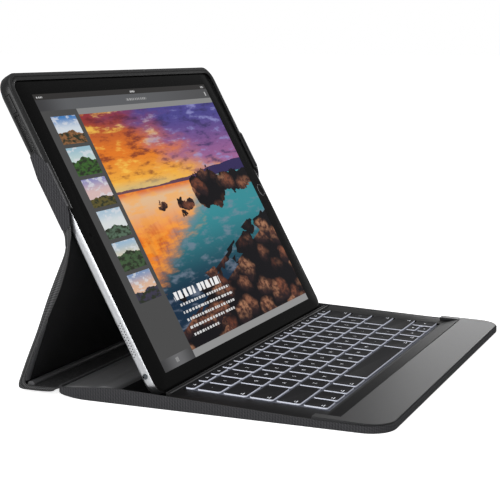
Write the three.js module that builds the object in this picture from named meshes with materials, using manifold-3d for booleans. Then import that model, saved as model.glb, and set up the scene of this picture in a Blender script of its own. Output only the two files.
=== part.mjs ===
// Folding keyboard case for a large tablet, standing open with the tablet in its holder.
// Millimetres, +Z up, +X to the typist's right, -Y towards the typist.
// The origin is the centre of the base's flat underside.

import * as THREE from 'three';
import { mergeVertices } from 'three/addons/utils/BufferGeometryUtils.js';
import Module from 'manifold-3d';

const wasm = await Module();
wasm.setup();

// ---------------------------------------------------------------- driving sizes

const gap = 0.3; // clearance between neighbouring pieces
const arcSteps = 3; // half the straight steps in a quarter round

// base, a little larger than the tablet that it closes over
const baseSideOverhang = 5.15;
const baseDepthOverhang = 1.4;
const frontCornerRadius = 17;
const rearCornerRadius = 6;
const coverFloor = 0.8;
const coverWall = 1.6;
const bottomChamfer = 1.5;
const baseBoardThickness = 0.4;
const rimFrontHeight = 4.3;
const rimKneeHeight = 5.1;
const rimKneeSetback = 55;
const rimPeakHeight = 10;
const rimShoulderHeight = 6.8;
const rimShoulderLength = 6;
const rimRearHeight = 5.8;

// palm rest
const palmInset = 0.8;
const palmDepth = 30.7;
const palmThickness = 1.0;
const palmFrontHeight = 5.6;
const palmRearHeight = 6.4;
const wellRampLength = 10; // from the palm rest down to the key well

// keys
const rowsSetback = 44.9; // front edge of the bottom row's cell
const rowPitch = 17.9;
const letterRows = 5;
const functionRowDepth = 8.2;
const unitWidth = 18.6; // width of a one-unit key's cell
const blockUnits = 14.5;
const keyGap = 2.2;
const keyCornerRadius = 1.8;
const keyThickness = 1.0;
const keyTravel = 1.4;
const keyFloorClearance = 0.25;
const keyFrontHeight = 5.75; // top of the bottom row at its front edge
const keySlope = 0.034;
const webDepth = 3;
const webThickness = 0.5;
const backlightThickness = 0.3;
const supportThickness = 0.6;
const blockMargin = 0.9; // from the key cells to the frame's opening

// dock
const barDepth = 3.6;
const barHeight = 9.0;
const barSeatHeight = 6.4;
const barEndInset = 8; // from the base's sides
const barChamfer = 0.6;
const barToTablet = 2.8;
const slotFloorHeight = 3.5;
const slotTabletClearance = 0.59; // under the tablet's lowest corner
const slotRearRoom = 1.75;
const slotRampLength = 7.7;
const deckHeight = 6.0;
const deckLength = 31.2; // from the tablet's front edge to the flap
const connectorWidth = 24;
const connectorDepth = 7;
const pinRadius = 0.7;
const pinPitch = 4;
const pinCount = 3;

// hinge flap, over the rear of the base
const flapFrontHeight = 8.6;
const flapCrownHeight = 9.9;
const flapRearHeight = 5.9;
const flapRearThickness = 0.55;
const flapCrownSetback = 6.5;
const flapMiddleHeight = 8.4;
const flapSideClearance = 2.5;

// inner pieces of the base
const circuitWidth = 110;
const circuitDepth = 22;
const circuitThickness = 1.2;
const circuitSetback = 5.5; // behind the flap's front edge
const dockMagnetSize = [30, 7, 2.5];
const dockMagnetOffset = 60;
const dockMagnetSetback = 9.5; // in front of the flap
const closureMagnetSize = [24, 8, 1.5];
const closureMagnetOffset = 100;

// spine and leg
const spineLength = 29.5;
const spineUnderside = 2.0;
const spineAxisHeight = 5.0;
const sheetCover = 1.0;
const sheetBoard = 0.7;
const sheetLining = 0.5;
const sheetInset = 2.5; // from the base's sides
const boardInset = 7;
const foldClearance = 0.6;

// tablet
const tabletWidth = 305.7;
const tabletHeight = 220.6;
const tabletThickness = 6.9;
const tabletCornerRadius = 10;
const tabletEdgeRound = 2.2;
const tabletTilt = 61.7; // degrees from level
const housingWall = 1.0;
const glassThickness = 0.8;
const displayWidth = 267;
const displayHeight = 199;
const displayThickness = 0.8;
const homeButtonRadius = 5.5;
const homeButtonInset = 8.5; // centre, from the tablet's right edge
const homeButtonDepth = 1.5;
const homeButtonTravel = 0.4;
const frontCameraRadius = 1.8;
const rearCameraRadius = 3.7;
const rearCameraInset = [14.85, 14.6]; // from the left and top edges
const jackRadius = 1.9;
const jackHeight = 14.5;
const portSize = [9, 3];

// holder, round the tablet's upper half
const holderSideWall = 4.15;
const holderTopWall = 4.9;
const holderCornerRadius = 13;
const lipReach = 1.5;
const lipProud = 1.2;
const flangeWidth = 26;
const holderBacking = 3.3; // behind the tablet's back face
const foldHeight = 118; // fold line, up the tablet from its lower edge
const holderEndRise = 6; // lower ends of the side walls, above the fold
const speakerWindowInsets = [48.1, 22.8]; // from the tablet's top edge
const windowHalfHeight = 1.9;
const buttonLength = 12;
const powerButtonInset = 15.1; // from the tablet's top edge
const volumeButtonOffsets = { up: -120.5, down: -104.5 };
const buttonProud = 0.4;
const buttonTravel = 0.5;
const cameraHoleRadius = 7.5;

// ---------------------------------------------------------------- places that follow

const baseDepth = tabletHeight + baseDepthOverhang;
const front = -baseDepth / 2;
const rear = baseDepth / 2;
const halfBase = tabletWidth / 2 + baseSideOverhang;
const barHalfLength = halfBase - barEndInset;
const sheetHalfWidth = halfBase - sheetInset;
const boardHalfWidth = halfBase - boardInset;
const innerInset = coverWall + gap;
const boardBottom = coverFloor + gap;
const frameBottom = boardBottom + baseBoardThickness + gap;
const palmRear = front + palmInset + palmDepth;
const rowsFront = front + rowsSetback;
const rowsRear = rowsFront + letterRows * rowPitch + functionRowDepth;
const blockWidth = blockUnits * unitWidth;
const barFront = rowsRear + 1;
const barRear = barFront + barDepth;
const frameRear = barRear + gap;
const tabletEdgeY = barRear + barToTablet;
const deckFront = frameRear + gap;
const flapFront = tabletEdgeY + deckLength + gap;
const flapRear = rear - flapSideClearance;
const foldAngle = THREE.MathUtils.degToRad(tabletTilt);
const tabletEdgeHeight = slotFloorHeight + slotTabletClearance + tabletThickness * Math.cos(foldAngle);
const slotRear = tabletEdgeY + tabletThickness * Math.sin(foldAngle) + slotRearRoom;
const holderBack = tabletThickness + holderBacking;
const spineAxis = [rear + gap, spineAxisHeight];
const legAxis = [spineAxis[0] + spineLength, spineUnderside];
const foldAxis = tabletPoint(foldHeight, holderBack);
const legLength = Math.hypot(foldAxis[0] - legAxis[0], foldAxis[1] - legAxis[1]);
const legAngle = Math.atan2(foldAxis[1] - legAxis[1], foldAxis[0] - legAxis[0]);
const keyAngle = Math.atan(keySlope);
const keyFloor = -(keyThickness + keyTravel + keyFloorClearance);

// y and z of a point up the tablet from its lower edge and behind its front face
function tabletPoint(up, behind) {
  return [
    tabletEdgeY + up * Math.cos(foldAngle) + behind * Math.sin(foldAngle),
    tabletEdgeHeight + up * Math.sin(foldAngle) - behind * Math.cos(foldAngle),
  ];
}

// height of the cover's rim along the base
function rimHeight(y) {
  const line = [
    [front, rimFrontHeight],
    [front + rimKneeSetback, rimKneeHeight],
    [flapFront, rimPeakHeight],
    [rear - rimShoulderLength, rimShoulderHeight],
    [rear, rimRearHeight],
  ];
  const i = Math.max(1, line.findIndex((point) => y <= point[0]));
  const [a, b] = [line[i - 1], line[i]];
  return a[1] + ((b[1] - a[1]) * (y - a[0])) / (b[0] - a[0]);
}

// ---------------------------------------------------------------- materials

function finish(color, roughness, metalness = 0) {
  return new THREE.MeshStandardMaterial({ color, roughness, metalness });
}

const woven = finish(0x2b2b2d, 0.9);
const lining = finish(0x151516, 0.95);
const board = finish(0x4a4640, 0.8);
const mouldedBlack = finish(0x1a1a1b, 0.5);
const anodisedGrey = finish(0x4b4c4f, 0.38, 0.9);
const brightMetal = finish(0x9a9b9e, 0.3, 1);
const keyBlack = finish(0x161617, 0.55);
const glowWhite = finish(0xe8eefc, 0.6);
const softGrey = finish(0x3b3b3d, 0.75);
const rubberGrey = finish(0x242425, 0.6);
const silver = finish(0xc9cacc, 0.3, 1);
const blackGlass = finish(0x08080a, 0.06);
const panel = finish(0x4d4d4d, 0.2);
const innerGrey = finish(0x55585c, 0.7);
const circuitGreen = finish(0x1f4a33, 0.6);
const magnetSteel = finish(0x8c8d90, 0.35, 1);
const contactGold = finish(0xc9a45a, 0.3, 1);
const lensGlass = finish(0x10131a, 0.08);

// ---------------------------------------------------------------- shape helpers

const object = new THREE.Group();

function add(name, geometry, material, parent = object) {
  const mesh = new THREE.Mesh(geometry, material);
  mesh.name = name;
  parent.add(mesh);
  return mesh;
}

function solid(geometry) {
  const bare = geometry.clone();
  bare.deleteAttribute('normal');
  bare.deleteAttribute('uv');
  const merged = mergeVertices(bare, 1e-4);
  const vertProperties = Float32Array.from(merged.attributes.position.array);
  const triVerts = Uint32Array.from(merged.index.array);
  return new wasm.Manifold(new wasm.Mesh({ numProp: 3, vertProperties, triVerts }));
}

function geometryOf(manifold) {
  const mesh = manifold.getMesh();
  const geometry = new THREE.BufferGeometry();
  geometry.setAttribute('position', new THREE.BufferAttribute(Float32Array.from(mesh.vertProperties), 3));
  geometry.setIndex(new THREE.BufferAttribute(Uint32Array.from(mesh.triVerts), 1));
  return geometry;
}

function cut(geometry, ...tools) {
  return geometryOf(tools.reduce((body, tool) => body.subtract(solid(tool)), solid(geometry)));
}

function join(geometry, ...others) {
  return geometryOf(others.reduce((body, other) => body.add(solid(other)), solid(geometry)));
}

function common(a, b) {
  return geometryOf(solid(a).intersect(solid(b)));
}

// a box from its lowest and highest corners
function block(x0, x1, y0, y1, z0, z1) {
  const box = new THREE.BoxGeometry(x1 - x0, y1 - y0, z1 - z0);
  return box.translate((x0 + x1) / 2, (y0 + y1) / 2, (z0 + z1) / 2);
}

// a rectangle whose lower corners and upper corners have their own radii; 0 is a square corner
function outline(x0, x1, y0, y1, lowRadius, highRadius = lowRadius) {
  const shape = new THREE.Shape();
  const quarter = Math.PI / 2;
  const corners = [
    [x0, y0, 1, 1, lowRadius, 2],
    [x1, y0, -1, 1, lowRadius, 3],
    [x1, y1, -1, -1, highRadius, 0],
    [x0, y1, 1, -1, highRadius, 1],
  ];
  corners.forEach(([x, y, dx, dy, radius, turn], i) => {
    if (radius > 0) {
      shape.absarc(x + dx * radius, y + dy * radius, radius, turn * quarter, (turn + 1) * quarter);
    } else if (i === 0) {
      shape.moveTo(x, y);
    } else {
      shape.lineTo(x, y);
    }
  });
  shape.closePath();
  return shape;
}

// an outline in x and y, thickened from z0 to z1
function plate(shape, z0, z1) {
  const settings = { depth: z1 - z0, bevelEnabled: false, curveSegments: arcSteps };
  return new THREE.ExtrudeGeometry(shape, settings).translate(0, 0, z0);
}

// an outline given as y and z points, run across the width
function across(points, x0, x1) {
  const shape = new THREE.Shape(points.map(([y, z]) => new THREE.Vector2(y, z)));
  const run = new THREE.ExtrudeGeometry(shape, { depth: x1 - x0, bevelEnabled: false });
  const turn = new THREE.Matrix4().makeBasis(
    new THREE.Vector3(0, 1, 0),
    new THREE.Vector3(0, 0, 1),
    new THREE.Vector3(1, 0, 0),
  );
  return run.applyMatrix4(turn).translate(x0, 0, 0);
}

// a round bar along z, x or y
function rod(radius, from, to, [a, b], axis = 'z', sides = 20) {
  const bar = new THREE.CylinderGeometry(radius, radius, to - from, sides).rotateX(Math.PI / 2);
  bar.translate(0, 0, (from + to) / 2);
  if (axis === 'x') return bar.rotateY(Math.PI / 2).translate(0, a, b);
  return bar.translate(a, b, 0);
}

// ---------------------------------------------------------------- base

function basePlan(inset) {
  const radii = [frontCornerRadius - inset, Math.max(rearCornerRadius - inset, 0)];
  return outline(inset - halfBase, halfBase - inset, front + inset, rear - inset, ...radii);
}

function baseCover() {
  const rounded = new THREE.ExtrudeGeometry(basePlan(bottomChamfer), {
    depth: rimPeakHeight,
    bevelThickness: bottomChamfer,
    bevelSize: bottomChamfer,
    bevelSegments: 1,
    curveSegments: arcSteps,
  }).translate(0, 0, bottomChamfer);
  const stations = [front, front + rimKneeSetback, flapFront, rear - rimShoulderLength, rear];
  const rim = stations.map((y) => [y, rimHeight(y)]).reverse();
  const wedge = across([[front, 0], [rear, 0], ...rim], -halfBase, halfBase);
  const room = plate(basePlan(coverWall), coverFloor, rimPeakHeight + bottomChamfer);
  return cut(common(rounded, wedge), room);
}

function keyFrame() {
  const seatFront = barFront - gap;
  const wellFront = palmRear + wellRampLength;
  const profile = [
    [front + innerInset, frameBottom],
    [frameRear, frameBottom],
    [frameRear, barSeatHeight],
    [seatFront, barSeatHeight],
    [seatFront, rimHeight(seatFront) - gap],
    [wellFront, rimHeight(wellFront) - gap],
    [palmRear + gap, palmRearHeight],
    [palmRear + gap, palmRearHeight - palmThickness - gap],
    [front + innerInset, palmFrontHeight - palmThickness - gap],
  ];
  const whole = common(
    across(profile, innerInset - halfBase, halfBase - innerInset),
    plate(basePlan(innerInset), 0, rimPeakHeight),
  );
  const halfOpening = blockWidth / 2 + blockMargin;
  const rearOpening = Math.min(rowsRear + blockMargin, seatFront - gap);
  const opening = block(-halfOpening, halfOpening, rowsFront - blockMargin, rearOpening, 0, 20);
  const pockets = [-1, 1].map((side) => closureMagnet(side, gap));
  return cut(whole, opening, ...pockets);
}

function closureMagnet(side, room = 0) {
  const [length, depth, height] = closureMagnetSize;
  const x = side * closureMagnetOffset;
  const y = front + palmDepth / 2;
  const z = frameBottom + gap;
  return block(
    x - length / 2 - room,
    x + length / 2 + room,
    y - depth / 2 - room,
    y + depth / 2 + room,
    room ? 0 : z,
    z + height + room,
  );
}

function palmRest() {
  const y0 = front + palmInset;
  const profile = [
    [y0, palmFrontHeight - palmThickness],
    [palmRear, palmRearHeight - palmThickness],
    [palmRear, palmRearHeight],
    [y0, palmFrontHeight],
  ];
  const wide = halfBase - palmInset;
  return common(across(profile, -wide, wide), plate(basePlan(palmInset), 0, rimPeakHeight));
}

function dockBar() {
  const z0 = barSeatHeight + gap;
  const profile = [
    [barFront, z0],
    [barRear, z0],
    [barRear, barHeight - barChamfer],
    [barRear - barChamfer, barHeight],
    [barFront + barChamfer, barHeight],
    [barFront, barHeight - barChamfer],
  ];
  return across(profile, -barHalfLength, barHalfLength);
}

const connectorFront = tabletEdgeY;

function dockConnector(room = 0) {
  const half = connectorWidth / 2 + room;
  const y1 = connectorFront + connectorDepth + room;
  const z0 = room ? 0 : frameBottom + gap;
  const z1 = room ? slotFloorHeight + 1 : slotFloorHeight;
  return block(-half, half, connectorFront - room, y1, z0, z1);
}

function dockMagnet(side, room = 0) {
  const [length, depth, height] = dockMagnetSize;
  const x = side * dockMagnetOffset;
  const y = flapFront - dockMagnetSetback;
  const z = frameBottom + gap;
  return block(
    x - length / 2 - room,
    x + length / 2 + room,
    y - depth / 2 - room,
    y + depth / 2 + room,
    room ? 0 : z,
    z + height + room,
  );
}

const circuitFront = flapFront + circuitSetback;

function circuitBoard() {
  const z = frameBottom + gap;
  const y1 = circuitFront + circuitDepth;
  const base = block(-circuitWidth / 2, circuitWidth / 2, circuitFront, y1, z, z + circuitThickness / 2);
  const chips = [-32, 0, 30].map((x) => {
    const y = circuitFront + circuitDepth / 2;
    return block(x - 6, x + 6, y - 5, y + 5, z + circuitThickness / 4, z + circuitThickness);
  });
  return join(base, ...chips);
}

function rearDeck() {
  const rearInner = rear - innerInset;
  const profile = [
    [deckFront, frameBottom],
    [rearInner, frameBottom],
    [rearInner, rimRearHeight - 0.9],
    [rear - rimShoulderLength - 1, deckHeight],
    [slotRear + slotRampLength, deckHeight],
    [slotRear, slotFloorHeight],
    [deckFront, slotFloorHeight],
  ];
  const wide = halfBase - innerInset;
  const whole = common(across(profile, -wide, wide), plate(basePlan(innerInset), 0, rimPeakHeight));
  const halfCircuit = circuitWidth / 2 + gap;
  const circuitRoom = block(
    -halfCircuit,
    halfCircuit,
    circuitFront - gap,
    circuitFront + circuitDepth + gap,
    0,
    frameBottom + gap + circuitThickness + gap,
  );
  return cut(whole, dockConnector(gap), dockMagnet(-1, gap), dockMagnet(1, gap), circuitRoom);
}

function hingeFlap() {
  const bottom = deckHeight + gap;
  const shoulder = rear - rimShoulderLength - 1;
  const profile = [
    [flapFront, bottom],
    [shoulder, bottom],
    [flapRear, flapRearHeight - flapRearThickness],
    [flapRear, flapRearHeight],
    [shoulder, rimShoulderHeight + 0.1],
    [(flapFront + shoulder) / 2 + 3, flapMiddleHeight],
    [flapFront + flapCrownSetback, flapCrownHeight],
    [flapFront + 2, flapCrownHeight - 0.1],
    [flapFront, flapFrontHeight],
  ];
  const half = halfBase - flapSideClearance;
  return common(across(profile, -half, half), plate(basePlan(flapSideClearance), 0, rimPeakHeight + 5));
}

function contactPin(index) {
  const x = (index - (pinCount - 1) / 2) * pinPitch;
  const y = connectorFront + connectorDepth / 2;
  const behind = (y - tabletEdgeY) / Math.sin(foldAngle);
  const top = tabletPoint(0, behind)[1] - gap - pinRadius / 2;
  return rod(pinRadius, slotFloorHeight + gap, top, [x, y], 'z', 12);
}

add('base_cover', baseCover(), woven);
add('base_board', plate(basePlan(innerInset), boardBottom, boardBottom + baseBoardThickness), board);
add('key_frame', keyFrame(), mouldedBlack);
add('palm_rest', palmRest(), anodisedGrey);
add('dock_bar', dockBar(), brightMetal);
add('rear_deck', rearDeck(), mouldedBlack);
add('dock_connector', dockConnector(), mouldedBlack);
for (let i = 0; i < pinCount; i += 1) add(`contact_pin_${i + 1}`, contactPin(i), contactGold);
add('circuit_board', circuitBoard(), circuitGreen);
add('hinge_flap', hingeFlap(), softGrey);
for (const [word, side] of [['left', -1], ['right', 1]]) {
  add(`dock_magnet_${word}`, dockMagnet(side), magnetSteel);
  add(`closure_magnet_${word}`, closureMagnet(side), magnetSteel);
}

// ---------------------------------------------------------------- keys

// local y runs up the slope from the front of the bottom row, local z is 0 at the key tops
const keyGroup = new THREE.Group();
keyGroup.position.set(0, rowsFront, keyFrontHeight);
keyGroup.rotation.x = keyAngle;
object.add(keyGroup);

function layer(top, thickness) {
  const margin = blockMargin - gap;
  const half = blockWidth / 2 + margin;
  const y1 = rowsRear - rowsFront + Math.min(margin, gap / 2);
  return block(-half, half, -margin, y1, top - thickness, top);
}

add('backlight_sheet', layer(keyFloor, backlightThickness), glowWhite, keyGroup);
const supportTop = keyFloor - backlightThickness - gap;
add('key_support', layer(supportTop, supportThickness), innerGrey, keyGroup);

// one cap in the cell from x0 to x1 and y0 to y1
function keyCap(x0, x1, y0, y1) {
  const half = keyGap / 2;
  const shape = outline(x0 + half, x1 - half, y0 + half, y1 - half, keyCornerRadius);
  const settings = { depth: keyThickness, bevelEnabled: false, curveSegments: 1 };
  return new THREE.ExtrudeGeometry(shape, settings).translate(0, 0, -keyThickness);
}

// a row of equal caps that share one thin web
function capRow(x0, count, width, y0, y1) {
  const caps = Array.from({ length: count }, (_, i) => keyCap(x0 + i * width, x0 + (i + 1) * width, y0, y1));
  const middle = (y0 + y1) / 2;
  const web = block(
    x0 + width / 2,
    x0 + (count - 0.5) * width,
    middle - webDepth / 2,
    middle + webDepth / 2,
    -keyThickness,
    webThickness - keyThickness,
  );
  return join(web, ...caps);
}

const cellLeft = -blockWidth / 2;
const rowStart = (row) => row * rowPitch; // 0 is the bottom row

function addKeys(row, start, names) {
  let x = cellLeft + start * unitWidth;
  for (const [name, units] of names) {
    const x1 = x + units * unitWidth;
    add(`key_${name}`, keyCap(x, x1, rowStart(row), rowStart(row + 1)), keyBlack, keyGroup);
    x = x1;
  }
}

function addRow(name, row, startUnits, count) {
  const x0 = cellLeft + startUnits * unitWidth;
  const caps = capRow(x0, count, unitWidth, rowStart(row), rowStart(row + 1));
  add(name, caps, keyBlack, keyGroup);
}

const bottomLeft = [['globe', 1], ['control', 1], ['option_left', 1], ['command_left', 1.25]];
const bottomRight = [['space', 5], ['command_right', 1.25], ['option_right', 1], ['arrow_left', 1]];
addKeys(0, 0, [...bottomLeft, ...bottomRight]);
addKeys(0, blockUnits - 1, [['arrow_right', 1]]);
const arrowX = cellLeft + (blockUnits - 2) * unitWidth;
add('key_arrow_down', keyCap(arrowX, arrowX + unitWidth, 0, rowPitch / 2), keyBlack, keyGroup);
add('key_arrow_up', keyCap(arrowX, arrowX + unitWidth, rowPitch / 2, rowPitch), keyBlack, keyGroup);
addKeys(1, 0, [['shift_left', 2.25]]);
addRow('keys_bottom_letters', 1, 2.25, 10);
addKeys(1, 12.25, [['shift_right', 2.25]]);
addKeys(2, 0, [['caps', 1.75]]);
addRow('keys_home_letters', 2, 1.75, 11);
addKeys(2, 12.75, [['return', 1.75]]);
addKeys(3, 0, [['tab', 1.5]]);
addRow('keys_top_letters', 3, 1.5, 13);
addRow('keys_numbers', 4, 0, 13);
addKeys(4, 13, [['delete', 1.5]]);
const functionCount = 14;
const functionWidth = blockWidth / functionCount;
const functionFront = rowStart(letterRows);
const functionCaps = capRow(
  cellLeft,
  functionCount,
  functionWidth,
  functionFront,
  functionFront + functionRowDepth,
);
add('keys_functions', functionCaps, keyBlack, keyGroup);

// ---------------------------------------------------------------- spine

const layerTops = {
  cover: sheetCover,
  board: sheetCover + gap + sheetBoard,
  lining: sheetCover + sheetBoard + sheetLining + 2 * gap,
};

// where a layer starts, so that the spine's and the leg's layers clear each other inside the fold
function layerStart(name) {
  return layerTops[name] / Math.tan((Math.PI - legAngle) / 2) + foldClearance;
}

function sheet(name, y0, y1, halfWidth, thickness) {
  const top = layerTops[name];
  return block(-halfWidth, halfWidth, y0, y1, top - thickness, top);
}

const spineGroup = new THREE.Group();
spineGroup.position.set(0, legAxis[0], spineUnderside);
object.add(spineGroup);
const spineFront = -spineLength + 3 * gap;
add('spine_cover', sheet('cover', spineFront, -layerStart('cover'), sheetHalfWidth, sheetCover), woven, spineGroup);
add('spine_board', sheet('board', spineFront + 1.5, -layerStart('board'), boardHalfWidth, sheetBoard), board, spineGroup);
add('spine_lining', sheet('lining', spineFront + 1, -layerStart('lining'), boardHalfWidth, sheetLining), lining, spineGroup);

// ---------------------------------------------------------------- leg

// local y runs from the rear fold up to the holder's fold, local z goes inwards
const legGroup = new THREE.Group();
legGroup.position.set(0, legAxis[0], legAxis[1]);
legGroup.rotation.x = legAngle;
object.add(legGroup);
add('leg_cover', sheet('cover', layerStart('cover'), legLength - 1.2, sheetHalfWidth, sheetCover), woven, legGroup);
add('leg_board', sheet('board', layerStart('board'), legLength - 3, boardHalfWidth, sheetBoard), board, legGroup);
add('leg_lining', sheet('lining', layerStart('lining'), legLength - 4, boardHalfWidth, sheetLining), lining, legGroup);

// ---------------------------------------------------------------- tablet

// local y runs up the tablet from its lower edge, local z is 0 on its front face and negative behind
const tabletGroup = new THREE.Group();
tabletGroup.position.set(0, tabletEdgeY, tabletEdgeHeight);
tabletGroup.rotation.x = foldAngle;
object.add(tabletGroup);

const halfTablet = tabletWidth / 2;
const homeX = halfTablet - homeButtonInset;
const middleY = tabletHeight / 2;
const rearCamera = [rearCameraInset[0] - halfTablet, tabletHeight - rearCameraInset[1]];

function tabletPlan(inset) {
  const radius = tabletCornerRadius - inset;
  return outline(inset - halfTablet, halfTablet - inset, inset, tabletHeight - inset, radius);
}

function tabletHousing() {
  const edge = tabletEdgeRound;
  const rounded = new THREE.ExtrudeGeometry(tabletPlan(edge), {
    depth: tabletThickness,
    bevelThickness: edge,
    bevelSize: edge,
    bevelSegments: 2,
    curveSegments: arcSteps,
  }).translate(0, 0, edge - tabletThickness);
  const frontTrim = block(-halfTablet - 9, halfTablet + 9, -9, tabletHeight + 9, 0, 20);
  const room = plate(tabletPlan(housingWall), housingWall - tabletThickness, 5);
  const jack = rod(jackRadius, -halfTablet - 2, -halfTablet + 1.4, [jackHeight, -tabletThickness / 2], 'x');
  const [portLength, portHeight] = portSize;
  const port = block(
    halfTablet - 1.4,
    halfTablet + 2,
    middleY - portLength / 2,
    middleY + portLength / 2,
    -(tabletThickness + portHeight) / 2,
    -(tabletThickness - portHeight) / 2,
  );
  const lensRoom = rod(rearCameraRadius + gap, -tabletThickness - 1, -tabletThickness + 1.5, rearCamera);
  return cut(rounded, frontTrim, room, jack, port, lensRoom);
}

function tabletGlass() {
  const hole = rod(homeButtonRadius + gap, -5, 5, [homeX, middleY], 'z', 28);
  return cut(plate(tabletPlan(housingWall + gap), -glassThickness, 0), hole);
}

const displayTop = -glassThickness - gap;
const displayShift = -0.5;
const halfDisplay = displayWidth / 2;
const coreTop = displayTop - displayThickness - gap;
const displayPanel = block(
  displayShift - halfDisplay,
  displayShift + halfDisplay,
  middleY - displayHeight / 2,
  middleY + displayHeight / 2,
  displayTop - displayThickness,
  displayTop,
);
const corePlan = tabletPlan(housingWall + 2 * gap);
const lensBack = [-tabletThickness, -tabletThickness + housingWall - 0.1];
const frontCamera = rod(frontCameraRadius, displayTop - 0.8, displayTop, [-homeX, middleY], 'z', 16);

add('tablet_housing', tabletHousing(), silver, tabletGroup);
add('tablet_glass', tabletGlass(), blackGlass, tabletGroup);
add('display_panel', displayPanel, panel, tabletGroup);
add('tablet_core', plate(corePlan, housingWall + gap - tabletThickness, coreTop), innerGrey, tabletGroup);
add('home_button', rod(homeButtonRadius, -homeButtonDepth, 0, [homeX, middleY], 'z', 28), blackGlass, tabletGroup);
add('front_camera', frontCamera, lensGlass, tabletGroup);
add('rear_camera', rod(rearCameraRadius, ...lensBack, rearCamera), lensGlass, tabletGroup);

// ---------------------------------------------------------------- holder

const holderHalf = halfTablet + holderSideWall;
const holderTop = tabletHeight + holderTopWall;
const holderEndHeight = foldHeight + holderEndRise;
const speakerWindow = speakerWindowInsets.map((inset) => tabletHeight - inset);
const powerButtonHeight = tabletHeight - powerButtonInset;
const coverFront = -(holderBack - sheetCover);
const frameBack = coverFront + gap;
const buttonMiddle = -tabletThickness / 2;
const cameraHole = rod(cameraHoleRadius, -20, -tabletThickness, rearCamera, 'z', 24);

// the opening for a button cover in the left wall or the top wall
function sideButton(room) {
  const half = buttonLength / 2 + room;
  const tall = windowHalfHeight - gap + room;
  const x0 = -holderHalf - buttonProud - room;
  const x1 = room ? -halfTablet + 0.5 : -halfTablet - gap - buttonTravel - 0.4;
  return block(x0, x1, powerButtonHeight - half, powerButtonHeight + half, buttonMiddle - tall, buttonMiddle + tall);
}

function topButton(x, room) {
  const half = buttonLength / 2 + room;
  const tall = windowHalfHeight - gap + room;
  const y0 = room ? tabletHeight - 0.5 : tabletHeight + gap + buttonTravel + 0.4;
  const y1 = holderTop + buttonProud + room;
  return block(x - half, x + half, y0, y1, buttonMiddle - tall, buttonMiddle + tall);
}

function holderFrame() {
  const whole = plate(outline(-holderHalf, holderHalf, 0, holderTop, 0, holderCornerRadius), frameBack, lipProud);
  const room = plate(tabletPlan(-gap), -tabletThickness - gap, gap);
  const below = block(-holderHalf - 9, holderHalf + 9, -9, holderEndHeight, -30, 30);
  const view = plate(tabletPlan(lipReach), 0, 20);
  const flangeHalf = halfTablet - flangeWidth;
  const behind = block(-flangeHalf, flangeHalf, 0, tabletHeight - flangeWidth, -30, 0);
  const windows = [-1, 1].map((side) => {
    const xs = [side * (halfTablet - 1), side * (holderHalf + 1)].sort((a, b) => a - b);
    return block(...xs, ...speakerWindow, buttonMiddle - windowHalfHeight, buttonMiddle + windowHalfHeight);
  });
  const buttons = [sideButton(gap), ...Object.values(volumeButtonOffsets).map((x) => topButton(x, gap))];
  return cut(whole, room, below, view, behind, cameraHole, ...windows, ...buttons);
}

const holderBoardShape = outline(
  flangeWidth + gap - halfTablet,
  halfTablet - flangeWidth - gap,
  foldHeight + 2,
  tabletHeight - flangeWidth - gap,
  0,
);
const holderCoverShape = outline(-holderHalf, holderHalf, foldHeight + 1.2, holderTop, 0, holderCornerRadius);

add('holder_frame', holderFrame(), rubberGrey, tabletGroup);
add('holder_board', plate(holderBoardShape, frameBack, -tabletThickness - gap), board, tabletGroup);
add('holder_cover', cut(plate(holderCoverShape, -holderBack, coverFront), cameraHole), woven, tabletGroup);
add('power_button_cover', sideButton(0), rubberGrey, tabletGroup);
for (const [word, x] of Object.entries(volumeButtonOffsets)) {
  add(`volume_${word}_cover`, topButton(x, 0), rubberGrey, tabletGroup);
}

export default object;
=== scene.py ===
import math

import bmesh
import bpy
from mathutils import Matrix, Vector, noise


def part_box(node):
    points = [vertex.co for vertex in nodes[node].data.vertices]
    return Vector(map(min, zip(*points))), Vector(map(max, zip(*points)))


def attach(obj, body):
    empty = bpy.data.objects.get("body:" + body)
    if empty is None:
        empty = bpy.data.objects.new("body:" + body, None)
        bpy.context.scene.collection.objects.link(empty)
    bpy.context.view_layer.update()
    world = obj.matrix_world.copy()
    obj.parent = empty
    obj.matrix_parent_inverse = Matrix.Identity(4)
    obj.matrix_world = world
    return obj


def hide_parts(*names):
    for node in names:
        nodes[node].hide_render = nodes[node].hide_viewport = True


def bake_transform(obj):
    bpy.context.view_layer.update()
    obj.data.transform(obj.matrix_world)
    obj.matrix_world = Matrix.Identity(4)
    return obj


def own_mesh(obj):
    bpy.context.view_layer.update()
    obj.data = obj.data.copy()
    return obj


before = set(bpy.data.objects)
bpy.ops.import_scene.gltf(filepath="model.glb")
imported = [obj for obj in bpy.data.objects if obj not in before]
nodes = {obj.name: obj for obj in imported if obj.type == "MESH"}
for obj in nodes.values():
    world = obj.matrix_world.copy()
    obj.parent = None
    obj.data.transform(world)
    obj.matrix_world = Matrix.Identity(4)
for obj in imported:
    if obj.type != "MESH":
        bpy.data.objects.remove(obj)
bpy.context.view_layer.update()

mm = 0.001
scene = bpy.context.scene


# the camera, the floor and the light

studio = {
    "place": (-0.84864, -0.30964, 0.22142),
    "forward": (0.91287, 0.37761, -0.15514),
    "up": (0.1427, 0.0609, 0.9879),
    "lens": 92.2,
    "sensor": 36.0,
    "ambient": 0.34,
    "floorTone": (0.90, 0.90, 0.90),
    "floorGlow": 0.80,
    "floorSize": 80.0,
}


def makeCamera():
    eye = bpy.data.objects.new("camera", bpy.data.cameras.new("camera"))
    scene.collection.objects.link(eye)
    back = -Vector(studio["forward"]).normalized()
    right = Vector(studio["up"]).cross(back).normalized()
    turn = Matrix((right, back.cross(right), back)).transposed().to_4x4()
    eye.matrix_world = Matrix.Translation(studio["place"]) @ turn
    eye.data.lens = studio["lens"]
    eye.data.sensor_width = studio["sensor"]
    scene.camera = eye


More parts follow.
